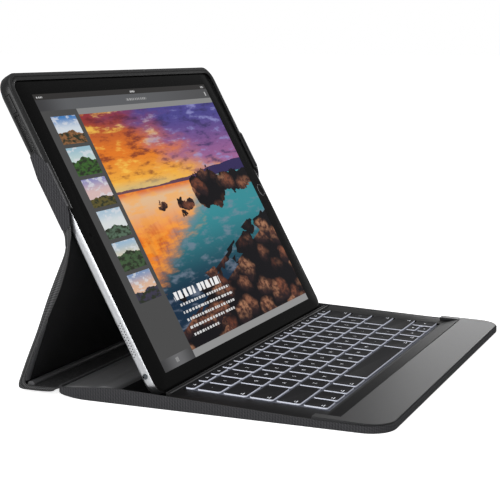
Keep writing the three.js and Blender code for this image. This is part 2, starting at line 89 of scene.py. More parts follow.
def addLamp(name, place, target, size, power, tone=(1, 1, 1)):
    lamp = bpy.data.objects.new(name, bpy.data.lights.new(name, "AREA"))
    scene.collection.objects.link(lamp)
    lamp.data.shape = "RECTANGLE"
    lamp.data.size, lamp.data.size_y = size
    lamp.data.energy = power
    lamp.data.color = tone
    lamp.location = place
    aim = Vector(target) - Vector(place)
    lamp.rotation_euler = aim.to_track_quat("-Z", "Y").to_euler()


def makeStudio():
    makeCamera()
    scene.view_settings.view_transform = "Standard"
    world = bpy.data.worlds.new("studio")
    scene.world = world
    world.use_nodes = True
    tree = world.node_tree
    soft = tree.nodes["Background"]
    soft.inputs["Strength"].default_value = studio["ambient"]
    seen = tree.nodes.new("ShaderNodeBackground")
    path = tree.nodes.new("ShaderNodeLightPath")
    mix = tree.nodes.new("ShaderNodeMixShader")
    for background in (soft, seen):
        background.inputs["Color"].default_value = (1, 1, 1, 1)
    tree.links.new(path.outputs["Is Camera Ray"], mix.inputs["Fac"])
    tree.links.new(soft.outputs["Background"], mix.inputs[1])
    tree.links.new(seen.outputs["Background"], mix.inputs[2])
    tree.links.new(mix.outputs["Shader"], tree.nodes["World Output"].inputs["Surface"])
    addLamp("topLight", (-0.2, -0.3, 1.3), (0, 0, 0), (1.4, 1.0), 5)
    addLamp("rearLight", (1.5, 0.15, 0.25), (0.1, -0.08, 0), (0.4, 0.3), 1.3)
    addLamp("fillLight", (-0.75, -0.03, 0.17), (0, 0.11, 0.03), (0.35, 0.2), 1.1)
    addLamp("leftLight", (-1.1, 0.25, 0.5), (-0.05, 0.05, 0.05), (0.7, 0.7), 4)
    floor = bpy.data.objects.new("floor", bpy.data.meshes.new("floor"))
    scene.collection.objects.link(floor)
    sheet = bmesh.new()
    bmesh.ops.create_grid(sheet, x_segments=1, y_segments=1, size=studio["floorSize"] / 2)
    sheet.to_mesh(floor.data)
    sheet.free()
    paper = grainFinish("floorPaper", studio["floorTone"], 0.9, spread=0.01, fine=300.0, depth=0.0,
                        Emission_Color=(1, 1, 1, 1))
    ray = paper.node_tree.nodes.new("ShaderNodeLightPath")
    glow = maths(paper.node_tree, "MULTIPLY", ray.outputs["Is Camera Ray"], studio["floorGlow"])
    paper.node_tree.links.new(glow, paper.node_tree.nodes["Principled BSDF"].inputs["Emission Strength"])
    floor.data.materials.append(paper)


# helpers for the materials

def finishOf(name, tone, roughness, metallic=0.0, **sockets):
    made = bpy.data.materials.new(name)
    made.use_nodes = True
    shader = made.node_tree.nodes["Principled BSDF"]
    shader.inputs["Base Color"].default_value = (*tone, 1)
    shader.inputs["Roughness"].default_value = roughness
    shader.inputs["Metallic"].default_value = metallic
    for socket, value in sockets.items():
        shader.inputs[socket.replace("_", " ")].default_value = value
    return made


def newNode(tree, kind, **values):
    made = tree.nodes.new(kind)
    for key, value in values.items():
        if key in ("operation", "blend_type", "data_type", "feature", "noise_dimensions", "node_tree"):
            setattr(made, key, value)
        else:
            made.inputs[key.replace("_", " ")].default_value = value
    return made


def maths(tree, operation, first, second=None, third=None):
    made = tree.nodes.new("ShaderNodeMath")
    made.operation = operation
    for i, value in enumerate((first, second, third)):
        if value is None:
            continue
        if isinstance(value, (int, float)):
            made.inputs[i].default_value = value
        else:
            tree.links.new(value, made.inputs[i])
    return made.outputs[0]


def mixed(tree, factor, first, second):
    made = tree.nodes.new("ShaderNodeMix")
    made.data_type = "RGBA"
    for socket, value in ((made.inputs["Factor"], factor), (made.inputs[6], first), (made.inputs[7], second)):
        if isinstance(value, (int, float)):
            socket.default_value = value
        elif isinstance(value, tuple):
            socket.default_value = (*value, 1)
        else:
            tree.links.new(value, socket)
    return made.outputs[2]


def newGroup(name, takes, gives):
    made = bpy.data.node_groups.new(name, "ShaderNodeTree")
    for socket, kind, value in takes:
        entry = made.interface.new_socket(name=socket, in_out="INPUT", socket_type=kind)
        if value is not None:
            entry.default_value = value
    for socket in gives:
        made.interface.new_socket(name=socket, in_out="OUTPUT", socket_type="NodeSocketFloat")
    source = made.nodes.new("NodeGroupInput")
    sink = made.nodes.new("NodeGroupOutput")
    return made, source.outputs, sink.inputs


# diagonal ribs crossed by finer threads; it reads the same on walls that face any axis
def makeTwill():
    group, takes, gives = newGroup("twill", [("Vector", "NodeSocketVector", None),
                                             ("Pitch", "NodeSocketFloat", 0.0014),
                                             ("Fuzz", "NodeSocketFloat", 0.25)],
                                   ["Height", "Thread"])
    parts = newNode(group, "ShaderNodeSeparateXYZ")
    group.links.new(takes["Vector"], parts.inputs[0])
    turns = maths(group, "DIVIDE", 2 * math.pi, takes["Pitch"])
    first = maths(group, "MULTIPLY", maths(group, "ADD", parts.outputs[0], parts.outputs[2]), turns)
    second = maths(group, "MULTIPLY", maths(group, "ADD", parts.outputs[1], parts.outputs[2]), turns)
    rib = maths(group, "SINE", maths(group, "ADD", first, second))
    thread = maths(group, "SINE", maths(group, "SUBTRACT", first, second))
    fibre = newNode(group, "ShaderNodeTexNoise", Scale=2200.0, Detail=2.0)
    group.links.new(takes["Vector"], fibre.inputs["Vector"])
    loose = maths(group, "MULTIPLY", maths(group, "SUBTRACT", fibre.outputs[0], 0.5), takes["Fuzz"])
    height = maths(group, "MULTIPLY_ADD", rib, 0.32, 0.5)
    height = maths(group, "MULTIPLY_ADD", thread, 0.16, height)
    group.links.new(maths(group, "ADD", height, loose), gives["Height"])
    group.links.new(maths(group, "MULTIPLY_ADD", thread, 0.5, 0.5), gives["Thread"])
    return group


# fine moulded or brushed surface: a small height and a slow change of tone
def makeGrain():
    group, takes, gives = newGroup("grain", [("Vector", "NodeSocketVector", None),
                                             ("Scale", "NodeSocketFloat", 1500.0),
                                             ("Stretch", "NodeSocketVector", (1, 1, 1)),
                                             ("Patch", "NodeSocketFloat", 14.0)],
                                   ["Height", "Tone"])
    stretch = newNode(group, "ShaderNodeVectorMath", operation="MULTIPLY")
    group.links.new(takes["Vector"], stretch.inputs[0])
    group.links.new(takes["Stretch"], stretch.inputs[1])
    fine = newNode(group, "ShaderNodeTexNoise", Detail=3.0)
    slow = newNode(group, "ShaderNodeTexNoise", Detail=2.0)
    group.links.new(stretch.outputs[0], fine.inputs["Vector"])
    group.links.new(takes["Scale"], fine.inputs["Scale"])
    group.links.new(takes["Vector"], slow.inputs["Vector"])
    group.links.new(takes["Patch"], slow.inputs["Scale"])
    group.links.new(fine.outputs[0], gives["Height"])
    group.links.new(slow.outputs[0], gives["Tone"])
    return group


# light lint that settles on faces that look up
def makeLint():
    group, takes, gives = newGroup("lint", [("Vector", "NodeSocketVector", None),
                                            ("Amount", "NodeSocketFloat", 0.2)], ["Mask"])
    shape = newNode(group, "ShaderNodeNewGeometry")
    parts = newNode(group, "ShaderNodeSeparateXYZ")
    specks = newNode(group, "ShaderNodeTexNoise", Scale=900.0, Detail=4.0)
    group.links.new(takes["Vector"], specks.inputs["Vector"])
    group.links.new(shape.outputs["Normal"], parts.inputs[0])
    upward = maths(group, "MAXIMUM", parts.outputs[2], 0.0)
    grain = maths(group, "POWER", specks.outputs[0], 5.0)
    dusty = maths(group, "MULTIPLY", maths(group, "MULTIPLY", upward, grain), takes["Amount"])
    group.links.new(maths(group, "MULTIPLY", dusty, 8.0), gives["Mask"])
    return group


twill, grain, lint = makeTwill(), makeGrain(), makeLint()


def coordinate(tree, useUv):
    source = tree.nodes.new("ShaderNodeTexCoord")
    return source.outputs["UV" if useUv else "Object"]


def addBump(tree, height, distance, strength=1.0):
    bump = tree.nodes.new("ShaderNodeBump")
    bump.inputs["Strength"].default_value = strength
    bump.inputs["Distance"].default_value = distance
    tree.links.new(height, bump.inputs["Height"])
    tree.links.new(bump.outputs["Normal"], tree.nodes["Principled BSDF"].inputs["Normal"])


# woven cloth: the weave's height is painted into its colour, with painted shade in the valleys between
# threads and a painted highlight on their crowns
def clothFinish(name, deep, crown, pitch, useUv=False, depth=0.00022, rough=0.85):
    made = finishOf(name, crown, rough, Specular_IOR_Level=0.12, Sheen_Weight=0.03, Sheen_Roughness=0.5)
    tree = made.node_tree
    shader = tree.nodes["Principled BSDF"]
    vector = coordinate(tree, useUv)
    weave = newNode(tree, "ShaderNodeGroup", node_tree=twill, Pitch=pitch)
    patch = newNode(tree, "ShaderNodeGroup", node_tree=grain, Patch=30.0)
    dust = newNode(tree, "ShaderNodeGroup", node_tree=lint, Amount=0.12)
    for group in (weave, patch, dust):
        tree.links.new(vector, group.inputs["Vector"])
    # painted shade and highlight: near-black in the weave's valleys, light on its crowns
    colour = mixed(tree, weave.outputs["Height"], deep, crown)
    worn = maths(tree, "MULTIPLY", patch.outputs["Tone"], 0.35)
    colour = mixed(tree, worn, colour, tuple(0.5 * (a + b) for a, b in zip(deep, crown)))
    colour = mixed(tree, dust.outputs["Mask"], colour, (0.22, 0.22, 0.22))
    tree.links.new(colour, shader.inputs["Base Color"])
    addBump(tree, weave.outputs["Height"], depth)
    return made


# ribbed tape: one rib per pitch along the strip's own V, each rib's crown painted light as a highlight and
# the dip between ribs painted dark as shade
def ribFinish(name, deep, crown, pitch):
    made = finishOf(name, crown, 0.6, Specular_IOR_Level=0.3)
    tree = made.node_tree
    parts = newNode(tree, "ShaderNodeSeparateXYZ")
    tree.links.new(coordinate(tree, True), parts.inputs[0])
    lean = maths(tree, "MULTIPLY_ADD", parts.outputs[0], 0.5, parts.outputs[1])
    wave = maths(tree, "SINE", maths(tree, "MULTIPLY", lean, 2 * math.pi / pitch))
    rib = maths(tree, "POWER", maths(tree, "MULTIPLY_ADD", wave, 0.5, 0.5), 2.2)
    # painted highlight on the rib crowns, painted shade between them
    tree.links.new(mixed(tree, rib, deep, crown), tree.nodes["Principled BSDF"].inputs["Base Color"])
    addBump(tree, rib, 0.0003)
    return made


# moulded, painted or anodised surface
def grainFinish(name, tone, roughness, metallic=0.0, fine=1500.0, stretch=(1, 1, 1), depth=0.00002,
                spread=0.12, dusty=0.0, useUv=False, **sockets):
    made = finishOf(name, tone, roughness, metallic, **sockets)
    tree = made.node_tree
    shader = tree.nodes["Principled BSDF"]
    vector = coordinate(tree, useUv)
    skin = newNode(tree, "ShaderNodeGroup", node_tree=grain, Scale=fine, Stretch=stretch)
    tree.links.new(vector, skin.inputs["Vector"])
    light = tuple(min(1, value * (1 + spread)) for value in tone)
    dark = tuple(value * (1 - spread) for value in tone)
    colour = mixed(tree, skin.outputs["Tone"], dark, light)
    if dusty:
        dust = newNode(tree, "ShaderNodeGroup", node_tree=lint, Amount=dusty)
        tree.links.new(vector, dust.inputs["Vector"])
        colour = mixed(tree, dust.outputs["Mask"], colour, (0.25, 0.25, 0.25))
    tree.links.new(colour, shader.inputs["Base Color"])
    uneven = maths(tree, "MULTIPLY_ADD", skin.outputs["Height"], 0.16, roughness - 0.08)
    tree.links.new(uneven, shader.inputs["Roughness"])
    addBump(tree, skin.outputs["Height"], depth)
    return made


# even light from the key well, with the cooler spots of its diodes; on the caps' side walls the same glow is
# painted light
def glowFinish(name, tone, strength, patch):
    made = finishOf(name, tone, 0.5, Emission_Strength=strength)
    tree = made.node_tree
    shader = tree.nodes["Principled BSDF"]
    vector = coordinate(tree, False)
    uneven = newNode(tree, "ShaderNodeGroup", node_tree=grain, Patch=patch)
    tree.links.new(vector, uneven.inputs["Vector"])
    dim = tuple(value * 0.6 for value in tone)
    tree.links.new(mixed(tree, uneven.outputs["Tone"], dim, tone), shader.inputs["Emission Color"])
    return made


# the lit screen: an album page with a sidebar of small views beside one large sunset over water
screenPage = {
    "statusFoot": 0.979, "toolbarFoot": 0.938, "pictureTop": 0.916, "pictureFoot": 0.027,
    "sidebar": 0.172, "footBar": 0.040, "horizon": 0.655,
    "thumbLeft": 0.034, "thumbRight": 0.152, "thumbTop": 0.916, "thumbPitch": 0.1155, "thumbShare": 0.885,
    "thumbFoot": 0.232,
    "blocks": [(0.205, 0.330, 0.202, 0.231, 36, 0.9), (0.352, 0.490, 0.202, 0.231, 36, 0.9),
               (0.218, 0.528, 0.177, 0.186, 62, 0.7), (0.218, 0.531, 0.149, 0.158, 54, 0.7),
               (0.218, 0.524, 0.121, 0.130, 66, 0.7), (0.214, 0.500, 0.093, 0.102, 58, 0.7),
               (0.212, 0.380, 0.066, 0.075, 62, 0.7), (0.010, 0.040, 0.985, 0.991, 120, 0.6),
               (0.495, 0.525, 0.985, 0.992, 110, 0.7), (0.455, 0.575, 0.953, 0.962, 90, 0.35),
               (0.965, 0.985, 0.984, 0.992, 90, 0.6), (0.972, 0.980, 0.948, 0.966, 1, 0.5),
               (0.074, 0.090, 0.014, 0.030, 260, 0.35)],
}


def screenFinish():
    made = finishOf("display", (0.004, 0.004, 0.004), 0.16, Specular_IOR_Level=0.02, Emission_Strength=0.92)
    tree = made.node_tree
    page = screenPage
    vector = coordinate(tree, True)
    parts = newNode(tree, "ShaderNodeSeparateXYZ")
    tree.links.new(vector, parts.inputs[0])
    u, v = parts.outputs[0], parts.outputs[1]

    def ramp(value, low, high):
        made = tree.nodes.new("ShaderNodeMapRange")
        made.interpolation_type = "SMOOTHSTEP"
        tree.links.new(value, made.inputs["Value"])
        made.inputs["From Min"].default_value = low
        made.inputs["From Max"].default_value = high
        return made.outputs[0]

    def clouds(scale, detail, stretch, shift=0.0, rough=0.55):
        place = newNode(tree, "ShaderNodeMapping", Scale=stretch, Location=(shift, shift, 0))
        tree.links.new(vector, place.inputs[0])
        puff = newNode(tree, "ShaderNodeTexNoise", Scale=scale, Detail=detail, Roughness=rough)
        tree.links.new(place.outputs[0], puff.inputs["Vector"])
        return puff.outputs[0]

    x = maths(tree, "DIVIDE", maths(tree, "SUBTRACT", u, page["sidebar"]), 1 - page["sidebar"])
    y = maths(tree, "DIVIDE", maths(tree, "SUBTRACT", v, page["pictureFoot"]),
              page["pictureTop"] - page["pictureFoot"])
    height = maths(tree, "DIVIDE", maths(tree, "SUBTRACT", y, page["horizon"]), 1 - page["horizon"])
    depth = maths(tree, "DIVIDE", maths(tree, "SUBTRACT", page["horizon"], y), page["horizon"])

    # sky: fire on the left, violet on the right, torn by clouds
    warmLow = mixed(tree, ramp(height, 0.05, 0.5), (0.95, 0.47, 0.06), (0.80, 0.20, 0.02))
    warm = mixed(tree, ramp(height, 0.45, 1.0), warmLow, (0.30, 0.035, 0.035))
    cool = mixed(tree, ramp(height, 0.1, 0.9), (0.36, 0.13, 0.30), (0.075, 0.065, 0.27))
    wisp = clouds(5.0, 6.0, (1.0, 2.6, 1.0))
    slant = maths(tree, "MULTIPLY_ADD", height, 0.35, x)
    drift = maths(tree, "ADD", slant, maths(tree, "MULTIPLY", wisp, 0.9))
    sky = mixed(tree, ramp(drift, 0.85, 1.35), warm, cool)
    billow = clouds(9.0, 7.0, (1.0, 3.2, 1.0), 3.0, 0.62)
    shade = mixed(tree, ramp(drift, 0.8, 1.3), (0.16, 0.020, 0.020), (0.035, 0.030, 0.11))
    sky = mixed(tree, maths(tree, "MULTIPLY", ramp(billow, 0.50, 0.66), 0.8), sky, shade)
    glint = mixed(tree, ramp(drift, 0.85, 1.3), (1.0, 0.62, 0.10), (0.30, 0.30, 0.62))
    sky = mixed(tree, maths(tree, "MULTIPLY", ramp(billow, 0.47, 0.33), 0.75), sky, glint)
    clear = maths(tree, "MULTIPLY", ramp(height, 0.16, 0.04), ramp(x, 0.55, 0.25))
    sky = mixed(tree, maths(tree, "MULTIPLY", clear, 0.7), sky, (0.62, 0.52, 0.26))
    ridge = maths(tree, "MULTIPLY_ADD", clouds(7.0, 5.0, (1.0, 0.05, 1.0), 9.0), 0.10, -0.02)
    ridge = maths(tree, "MULTIPLY_ADD", ramp(x, 0.3, 1.0), 0.13, ridge)
    hills = mixed(tree, ramp(x, 0.2, 0.8), (0.16, 0.07, 0.09), (0.035, 0.025, 0.10))
    sky = mixed(tree, maths(tree, "LESS_THAN", height, ridge), sky, hills)

    # water: the sky's fire on the left, teal in the middle, deep blue below
    ripple = clouds(12.0, 5.0, (0.9, 2.6, 1.0), 5.0, 0.6)
    near = mixed(tree, ramp(depth, 0.05, 0.34), (0.80, 0.52, 0.30), (0.93, 0.24, 0.012))
    near = mixed(tree, ramp(depth, 0.0, 0.06), (0.75, 0.16, 0.03), near)
    streak = clouds(9.0, 4.0, (2.2, 0.6, 1.0), 2.0, 0.6)
    near = mixed(tree, maths(tree, "MULTIPLY", ramp(streak, 0.46, 0.66), ramp(depth, 0.1, 0.4)), near,
                 (0.50, 0.085, 0.02))
    near = mixed(tree, maths(tree, "MULTIPLY", ramp(ripple, 0.55, 0.40), 0.5), near, (1.0, 0.42, 0.06))
    far = mixed(tree, ramp(depth, 0.2, 0.7), (0.040, 0.27, 0.31), (0.008, 0.028, 0.060))
    far = mixed(tree, maths(tree, "MULTIPLY", ramp(ripple, 0.50, 0.68), 0.6), far, (0.22, 0.26, 0.34))
    spill = maths(tree, "MULTIPLY_ADD", depth, 1.3, x)
    spill = maths(tree, "MULTIPLY_ADD", ripple, 0.55, spill)
    water = mixed(tree, ramp(spill, 0.84, 1.12), near, far)
    wholeView = mixed(tree, maths(tree, "GREATER_THAN", depth, 0.0), sky, water)

    # boulders: an outcrop on the horizon, a row to its right, a few in the bay and a bank at the foot
    lean = newNode(tree, "ShaderNodeMapping", Scale=(1.0, 1.15, 1.0), Rotation=(0, 0, 0.3))
    tree.links.new(vector, lean.inputs[0])
    stones = newNode(tree, "ShaderNodeTexVoronoi", Scale=11.0)
    bent = newNode(tree, "ShaderNodeTexNoise", Scale=13.0, Detail=3.0)
    tree.links.new(lean.outputs[0], bent.inputs["Vector"])
    shift = newNode(tree, "ShaderNodeVectorMath", operation="MULTIPLY_ADD")
    tree.links.new(bent.outputs["Color"], shift.inputs[0])
    shift.inputs[1].default_value = (0.09, 0.07, 0.0)
    tree.links.new(lean.outputs[0], shift.inputs[2])
    tree.links.new(shift.outputs[0], stones.inputs["Vector"])
    spot = newNode(tree, "ShaderNodeSeparateXYZ")
    own = newNode(tree, "ShaderNodeVectorMath", operation="SUBTRACT")
    tree.links.new(shift.outputs[0], own.inputs[0])
    tree.links.new(stones.outputs["Position"], own.inputs[1])
    tree.links.new(own.outputs[0], spot.inputs[0])
    tint = newNode(tree, "ShaderNodeSeparateXYZ")
    tree.links.new(stones.outputs["Color"], tint.inputs[0])
    pocked = clouds(46.0, 5.0, (1, 1, 1), 1.0, 0.65)
    sunny = mixed(tree, tint.outputs[0], (0.20, 0.06, 0.032), (0.42, 0.20, 0.11))
    sunny = mixed(tree, ramp(pocked, 0.60, 0.40), sunny, (0.09, 0.035, 0.025))
    up = maths(tree, "MULTIPLY_ADD", pocked, 0.05, spot.outputs[1])
    stone = mixed(tree, ramp(up, -0.005, 0.055), (0.022, 0.012, 0.014), sunny)
    stone = mixed(tree, ramp(stones.outputs["Distance"], 0.38, 0.66), stone, (0.006, 0.005, 0.007))
    jitter = maths(tree, "SUBTRACT", tint.outputs[1], 0.5)
    bank = maths(tree, "MULTIPLY_ADD", x, 0.52, depth)
    bank = maths(tree, "MULTIPLY_ADD", jitter, 0.22, bank)
    banked = maths(tree, "GREATER_THAN", bank, 0.84)
    rough = maths(tree, "MULTIPLY_ADD", clouds(22.0, 4.0, (1, 1, 1), 6.0), 0.10, -0.05)
    for centreX, centreY, halfX, halfY in ((0.625, 0.600, 0.125, 0.088), (0.86, 0.615, 0.17, 0.05),
                                           (0.245, 0.566, 0.035, 0.018), (0.41, 0.556, 0.06, 0.026),
                                           (0.37, 0.515, 0.022, 0.010), (0.80, 0.375, 0.04, 0.02)):
        wide = maths(tree, "DIVIDE", maths(tree, "SUBTRACT", x, centreX), halfX)
        tall = maths(tree, "DIVIDE", maths(tree, "SUBTRACT", maths(tree, "ADD", y, rough), centreY), halfY)
        round2 = maths(tree, "ADD", maths(tree, "POWER", maths(tree, "ABSOLUTE", wide), 2.6),
                       maths(tree, "POWER", maths(tree, "ABSOLUTE", tall), 2.2))
        banked = maths(tree, "MAXIMUM", banked, maths(tree, "LESS_THAN", round2, 1.0))
    picture = mixed(tree, banked, wholeView, stone)

    # sidebar of six small views
    row = maths(tree, "DIVIDE", maths(tree, "SUBTRACT", page["thumbTop"], v), page["thumbPitch"])
    index = maths(tree, "FLOOR", row)
    within = maths(tree, "DIVIDE", maths(tree, "FRACT", row), page["thumbShare"])
    chance = newNode(tree, "ShaderNodeTexWhiteNoise", noise_dimensions="1D")
    tree.links.new(index, chance.inputs["W"])
    luck = newNode(tree, "ShaderNodeSeparateXYZ")
    tree.links.new(chance.outputs["Color"], luck.inputs[0])

    def chosen(tones):
        table = tree.nodes.new("ShaderNodeValToRGB")
        table.color_ramp.interpolation = "CONSTANT"
        for i, tone in enumerate(tones):
            stop = table.color_ramp.elements[0] if i == 0 else table.color_ramp.elements.new(i / 6)
            stop.color = (*tone, 1)
        tree.links.new(maths(tree, "MULTIPLY_ADD", index, 1 / 6, 0.08), table.inputs[0])
        return table.outputs[0]

    dusk = chosen([(0.05, 0.20, 0.50), (0.33, 0.52, 0.62), (0.28, 0.28, 0.52), (0.42, 0.56, 0.68),
                   (0.34, 0.50, 0.66), (0.22, 0.32, 0.52)])
    pale = chosen([(0.66, 0.72, 0.78), (0.55, 0.68, 0.66), (0.70, 0.50, 0.48), (0.72, 0.76, 0.76),
                   (0.66, 0.62, 0.48), (0.75, 0.48, 0.33)])
    air = mixed(tree, ramp(within, 0.0, 0.5), dusk, pale)
    air = mixed(tree, maths(tree, "MULTIPLY", ramp(clouds(34.0, 4.0, (1, 1.5, 1), 2.0), 0.5, 0.6), 0.7), air,
                (0.72, 0.74, 0.78))
    ground = chosen([(0.28, 0.13, 0.055), (0.05, 0.13, 0.03), (0.12, 0.10, 0.03), (0.10, 0.16, 0.11),
                     (0.06, 0.11, 0.05), (0.05, 0.045, 0.075)])
    ground = mixed(tree, ramp(clouds(48.0, 5.0, (1, 1.6, 1), 7.0), 0.42, 0.6), ground, (0.028, 0.035, 0.022))
    skyline = maths(tree, "MULTIPLY_ADD", clouds(16.0, 3.0, (1, 0.3, 1), 4.0), 0.6,
                    maths(tree, "MULTIPLY_ADD", luck.outputs[0], 0.3, 0.12))
    small = mixed(tree, maths(tree, "GREATER_THAN", within, skyline), air, ground)
    inside = maths(tree, "MULTIPLY", maths(tree, "GREATER_THAN", u, page["thumbLeft"]),
                   maths(tree, "LESS_THAN", u, page["thumbRight"]))
    inside = maths(tree, "MULTIPLY", inside, maths(tree, "LESS_THAN", within, 1.0))
    inside = maths(tree, "MULTIPLY", inside, maths(tree, "LESS_THAN", v, page["thumbTop"]))
    inside = maths(tree, "MULTIPLY", inside, maths(tree, "GREATER_THAN", v, page["thumbFoot"]))
    side = mixed(tree, inside, (0.074, 0.074, 0.074), small)
    sheen = mixed(tree, ramp(maths(tree, "ABSOLUTE", maths(tree, "SUBTRACT", u, 0.09)), 0.0, 0.09),
                  (0.15, 0.15, 0.155), (0.06, 0.06, 0.062))
    side = mixed(tree, maths(tree, "LESS_THAN", v, page["footBar"]), side, sheen)

    # strips above and below the picture, then the bars across the top
    strip = (0.26, 0.26, 0.26)
    body = mixed(tree, maths(tree, "GREATER_THAN", v, page["pictureTop"]), picture, strip)
    body = mixed(tree, maths(tree, "LESS_THAN", v, page["pictureFoot"]), body, (0.30, 0.30, 0.30))
    body = mixed(tree, maths(tree, "GREATER_THAN", u, page["sidebar"]), side, body)
    bar = mixed(tree, ramp(u, 0.0, 0.16), (0.052, 0.052, 0.055), (0.115, 0.118, 0.125))
    bar = mixed(tree, ramp(u, 0.5, 1.0), bar, (0.085, 0.085, 0.088))
    body = mixed(tree, maths(tree, "GREATER_THAN", v, page["toolbarFoot"]), body, bar)
    body = mixed(tree, maths(tree, "GREATER_THAN", v, page["statusFoot"]), body, (0.035, 0.033, 0.032))

    # small blocks where a page would carry its wording
    for left, right, foot, head, perUnit, tone in page["blocks"]:
        across = maths(tree, "ABSOLUTE", maths(tree, "SUBTRACT", u, (left + right) / 2))
        cover = maths(tree, "LESS_THAN", across, (right - left) / 2)
        along = maths(tree, "ABSOLUTE", maths(tree, "SUBTRACT", v, (foot + head) / 2))
        tall = maths(tree, "LESS_THAN", along, (head - foot) / 2)
        wander = maths(tree, "MULTIPLY_ADD", clouds(40.0, 2.0, (1, 0.2, 1), left), 1.6, maths(
            tree, "MULTIPLY", u, perUnit))
        comb = maths(tree, "GREATER_THAN", maths(tree, "FRACT", wander), 0.36)
        cover = maths(tree, "MULTIPLY", maths(tree, "MULTIPLY", cover, tall), comb)
        body = mixed(tree, cover, body, (tone, tone, tone))
    tree.links.new(body, tree.nodes["Principled BSDF"].inputs["Emission Color"])
    return made


def makeFinishes():
    made = {}
    made["woven"] = clothFinish("woven", (0.0025, 0.0025, 0.003), (0.085, 0.085, 0.091), 0.0018)
    made["wovenFold"] = clothFinish("wovenFold", (0.0025, 0.0025, 0.003), (0.085, 0.085, 0.091), 0.0018, True)
    made["rib"] = ribFinish("rib", (0.003, 0.003, 0.003), (0.17, 0.17, 0.175), 0.0012)
    made["suede"] = grainFinish("suede", (0.022, 0.022, 0.023), 0.9, fine=1100.0, depth=0.0005, spread=0.45,
                                dusty=0.12, Specular_IOR_Level=0.08, Sheen_Weight=0.0)
    made["hem"] = grainFinish("hem", (0.085, 0.085, 0.09), 0.4, fine=2500.0, depth=0.00006)
    made["board"] = grainFinish("board", (0.07, 0.062, 0.052), 0.8)
    made["moulded"] = grainFinish("moulded", (0.004, 0.004, 0.0045), 0.5, fine=2600.0,
                                  Specular_IOR_Level=0.12)
    made["anodised"] = grainFinish("anodised", (0.024, 0.0245, 0.026), 0.40, 0.5, fine=3200.0, depth=0.000012,
                                   spread=0.05)
    # lighter metal: the home ring's metal, and the painted highlights on the dock rail's ridge tops
    made["barMetalAndRidgeHighlight"] = grainFinish("barMetalAndRidgeHighlight", (0.15, 0.15, 0.155), 0.30, 0.9, fine=2600.0)
    made["barGroove"] = grainFinish("barGroove", (0.006, 0.006, 0.006), 0.5)
    # the flap's light grey is partly its own colour and partly a painted highlight standing in for its satin
    # sheen
    made["flap"] = grainFinish("flap", (0.14, 0.14, 0.144), 0.34, fine=1800.0, depth=0.00008, spread=0.15,
                               Specular_IOR_Level=0.5)
    # the lining's fold gets a lighter grey than the lining: painted highlight along the fold's ridge
    made["crease"] = grainFinish("crease", (0.075, 0.075, 0.078), 0.36, fine=1800.0, depth=0.00012,
                                 spread=0.3)
    made["key"] = grainFinish("key", (0.0115, 0.0115, 0.0135), 0.6, fine=3000.0, Specular_IOR_Level=0.08)
    # the caps' side walls glow: painted light standing in for the lit outline round each cap
    made["keySkirt"] = glowFinish("keySkirt", (0.52, 0.54, 0.62), 0.55, 160.0)
    made["legend"] = glowFinish("legend", (0.72, 0.74, 0.80), 0.55, 90.0)
    made["backlight"] = glowFinish("backlight", (0.12, 0.125, 0.145), 0.10, 120.0)
    made["plate"] = grainFinish("plate", (0.09, 0.10, 0.11), 0.5, 0.6)
    made["circuit"] = grainFinish("circuit", (0.014, 0.07, 0.034), 0.5)
    made["magnet"] = grainFinish("magnet", (0.26, 0.26, 0.27), 0.35, 1.0)
    made["gold"] = grainFinish("gold", (0.58, 0.36, 0.10), 0.3, 1.0)
    made["rubber"] = grainFinish("rubber", (0.006, 0.006, 0.0065), 0.34, fine=2400.0, spread=0.15,
                                 Specular_IOR_Level=0.5)
    made["mesh"] = grainFinish("mesh", (0.006, 0.006, 0.006), 0.5)
    made["meshBack"] = grainFinish("meshBack", (0.17, 0.17, 0.175), 0.5)
    made["silver"] = grainFinish("silver", (0.60, 0.61, 0.63), 0.34, 1.0, fine=4200.0, depth=0.000008,
                                 spread=0.03)
    made["glass"] = grainFinish("glass", (0.0075, 0.0075, 0.0075), 0.14, fine=300.0, depth=0.0, spread=0.03,
                                Specular_IOR_Level=0.02)
    made["display"] = screenFinish()
    made["lens"] = grainFinish("lens", (0.006, 0.008, 0.014), 0.08)
    return made


# helpers for the meshes

# a copy of a node's solid with its loose triangles joined
def mergedCopy(node):
    made = bmesh.new()
    made.from_mesh(nodes[node].data)
    bmesh.ops.remove_doubles(made, verts=made.verts, dist=0.02 * mm)
    bmesh.ops.dissolve_limit(made, angle_limit=math.radians(1), verts=made.verts, edges=made.edges)
    return made


def sharpEdges(made, degrees=25):
    limit = math.radians(degrees)
    return [e for e in made.edges if e.is_manifold and e.calc_face_angle() > limit]


def roundEdges(made, edges, offset, segments=2):
    bmesh.ops.bevel(made, geom=edges, offset=offset, offset_type="OFFSET", affect="EDGES",
                    segments=segments, profile=0.5, material=-1, clamp_overlap=True)


# a level plate between two corners, its front and rear corners rounded
def roundedPlate(low, high, frontRadius, rearRadius, steps=10):
    made = bmesh.new()
    bmesh.ops.create_grid(made, x_segments=1, y_segments=1, size=0.5)
    bmesh.ops.scale(made, vec=(high[0] - low[0], high[1] - low[1], 1), verts=made.verts)
    middle = ((low[0] + high[0]) / 2, (low[1] + high[1]) / 2, low[2])
    bmesh.ops.translate(made, vec=middle, verts=made.verts)
    for atRear, radius in ((False, frontRadius), (True, rearRadius)):
        corners = [v for v in made.verts if (v.co.y > middle[1]) == atRear]
        if radius:
            bmesh.ops.bevel(made, geom=corners, offset=radius, offset_type="OFFSET", affect="VERTICES",
                            segments=steps, profile=0.5, material=-1, clamp_overlap=True)
    return made


def extruded(made, faces, way):
    grown = bmesh.ops.extrude_face_region(made, geom=faces)["geom"]
    bmesh.ops.translate(made, vec=way, verts=[g for g in grown if isinstance(g, bmesh.types.BMVert)])
    return [g for g in grown if isinstance(g, bmesh.types.BMFace)]


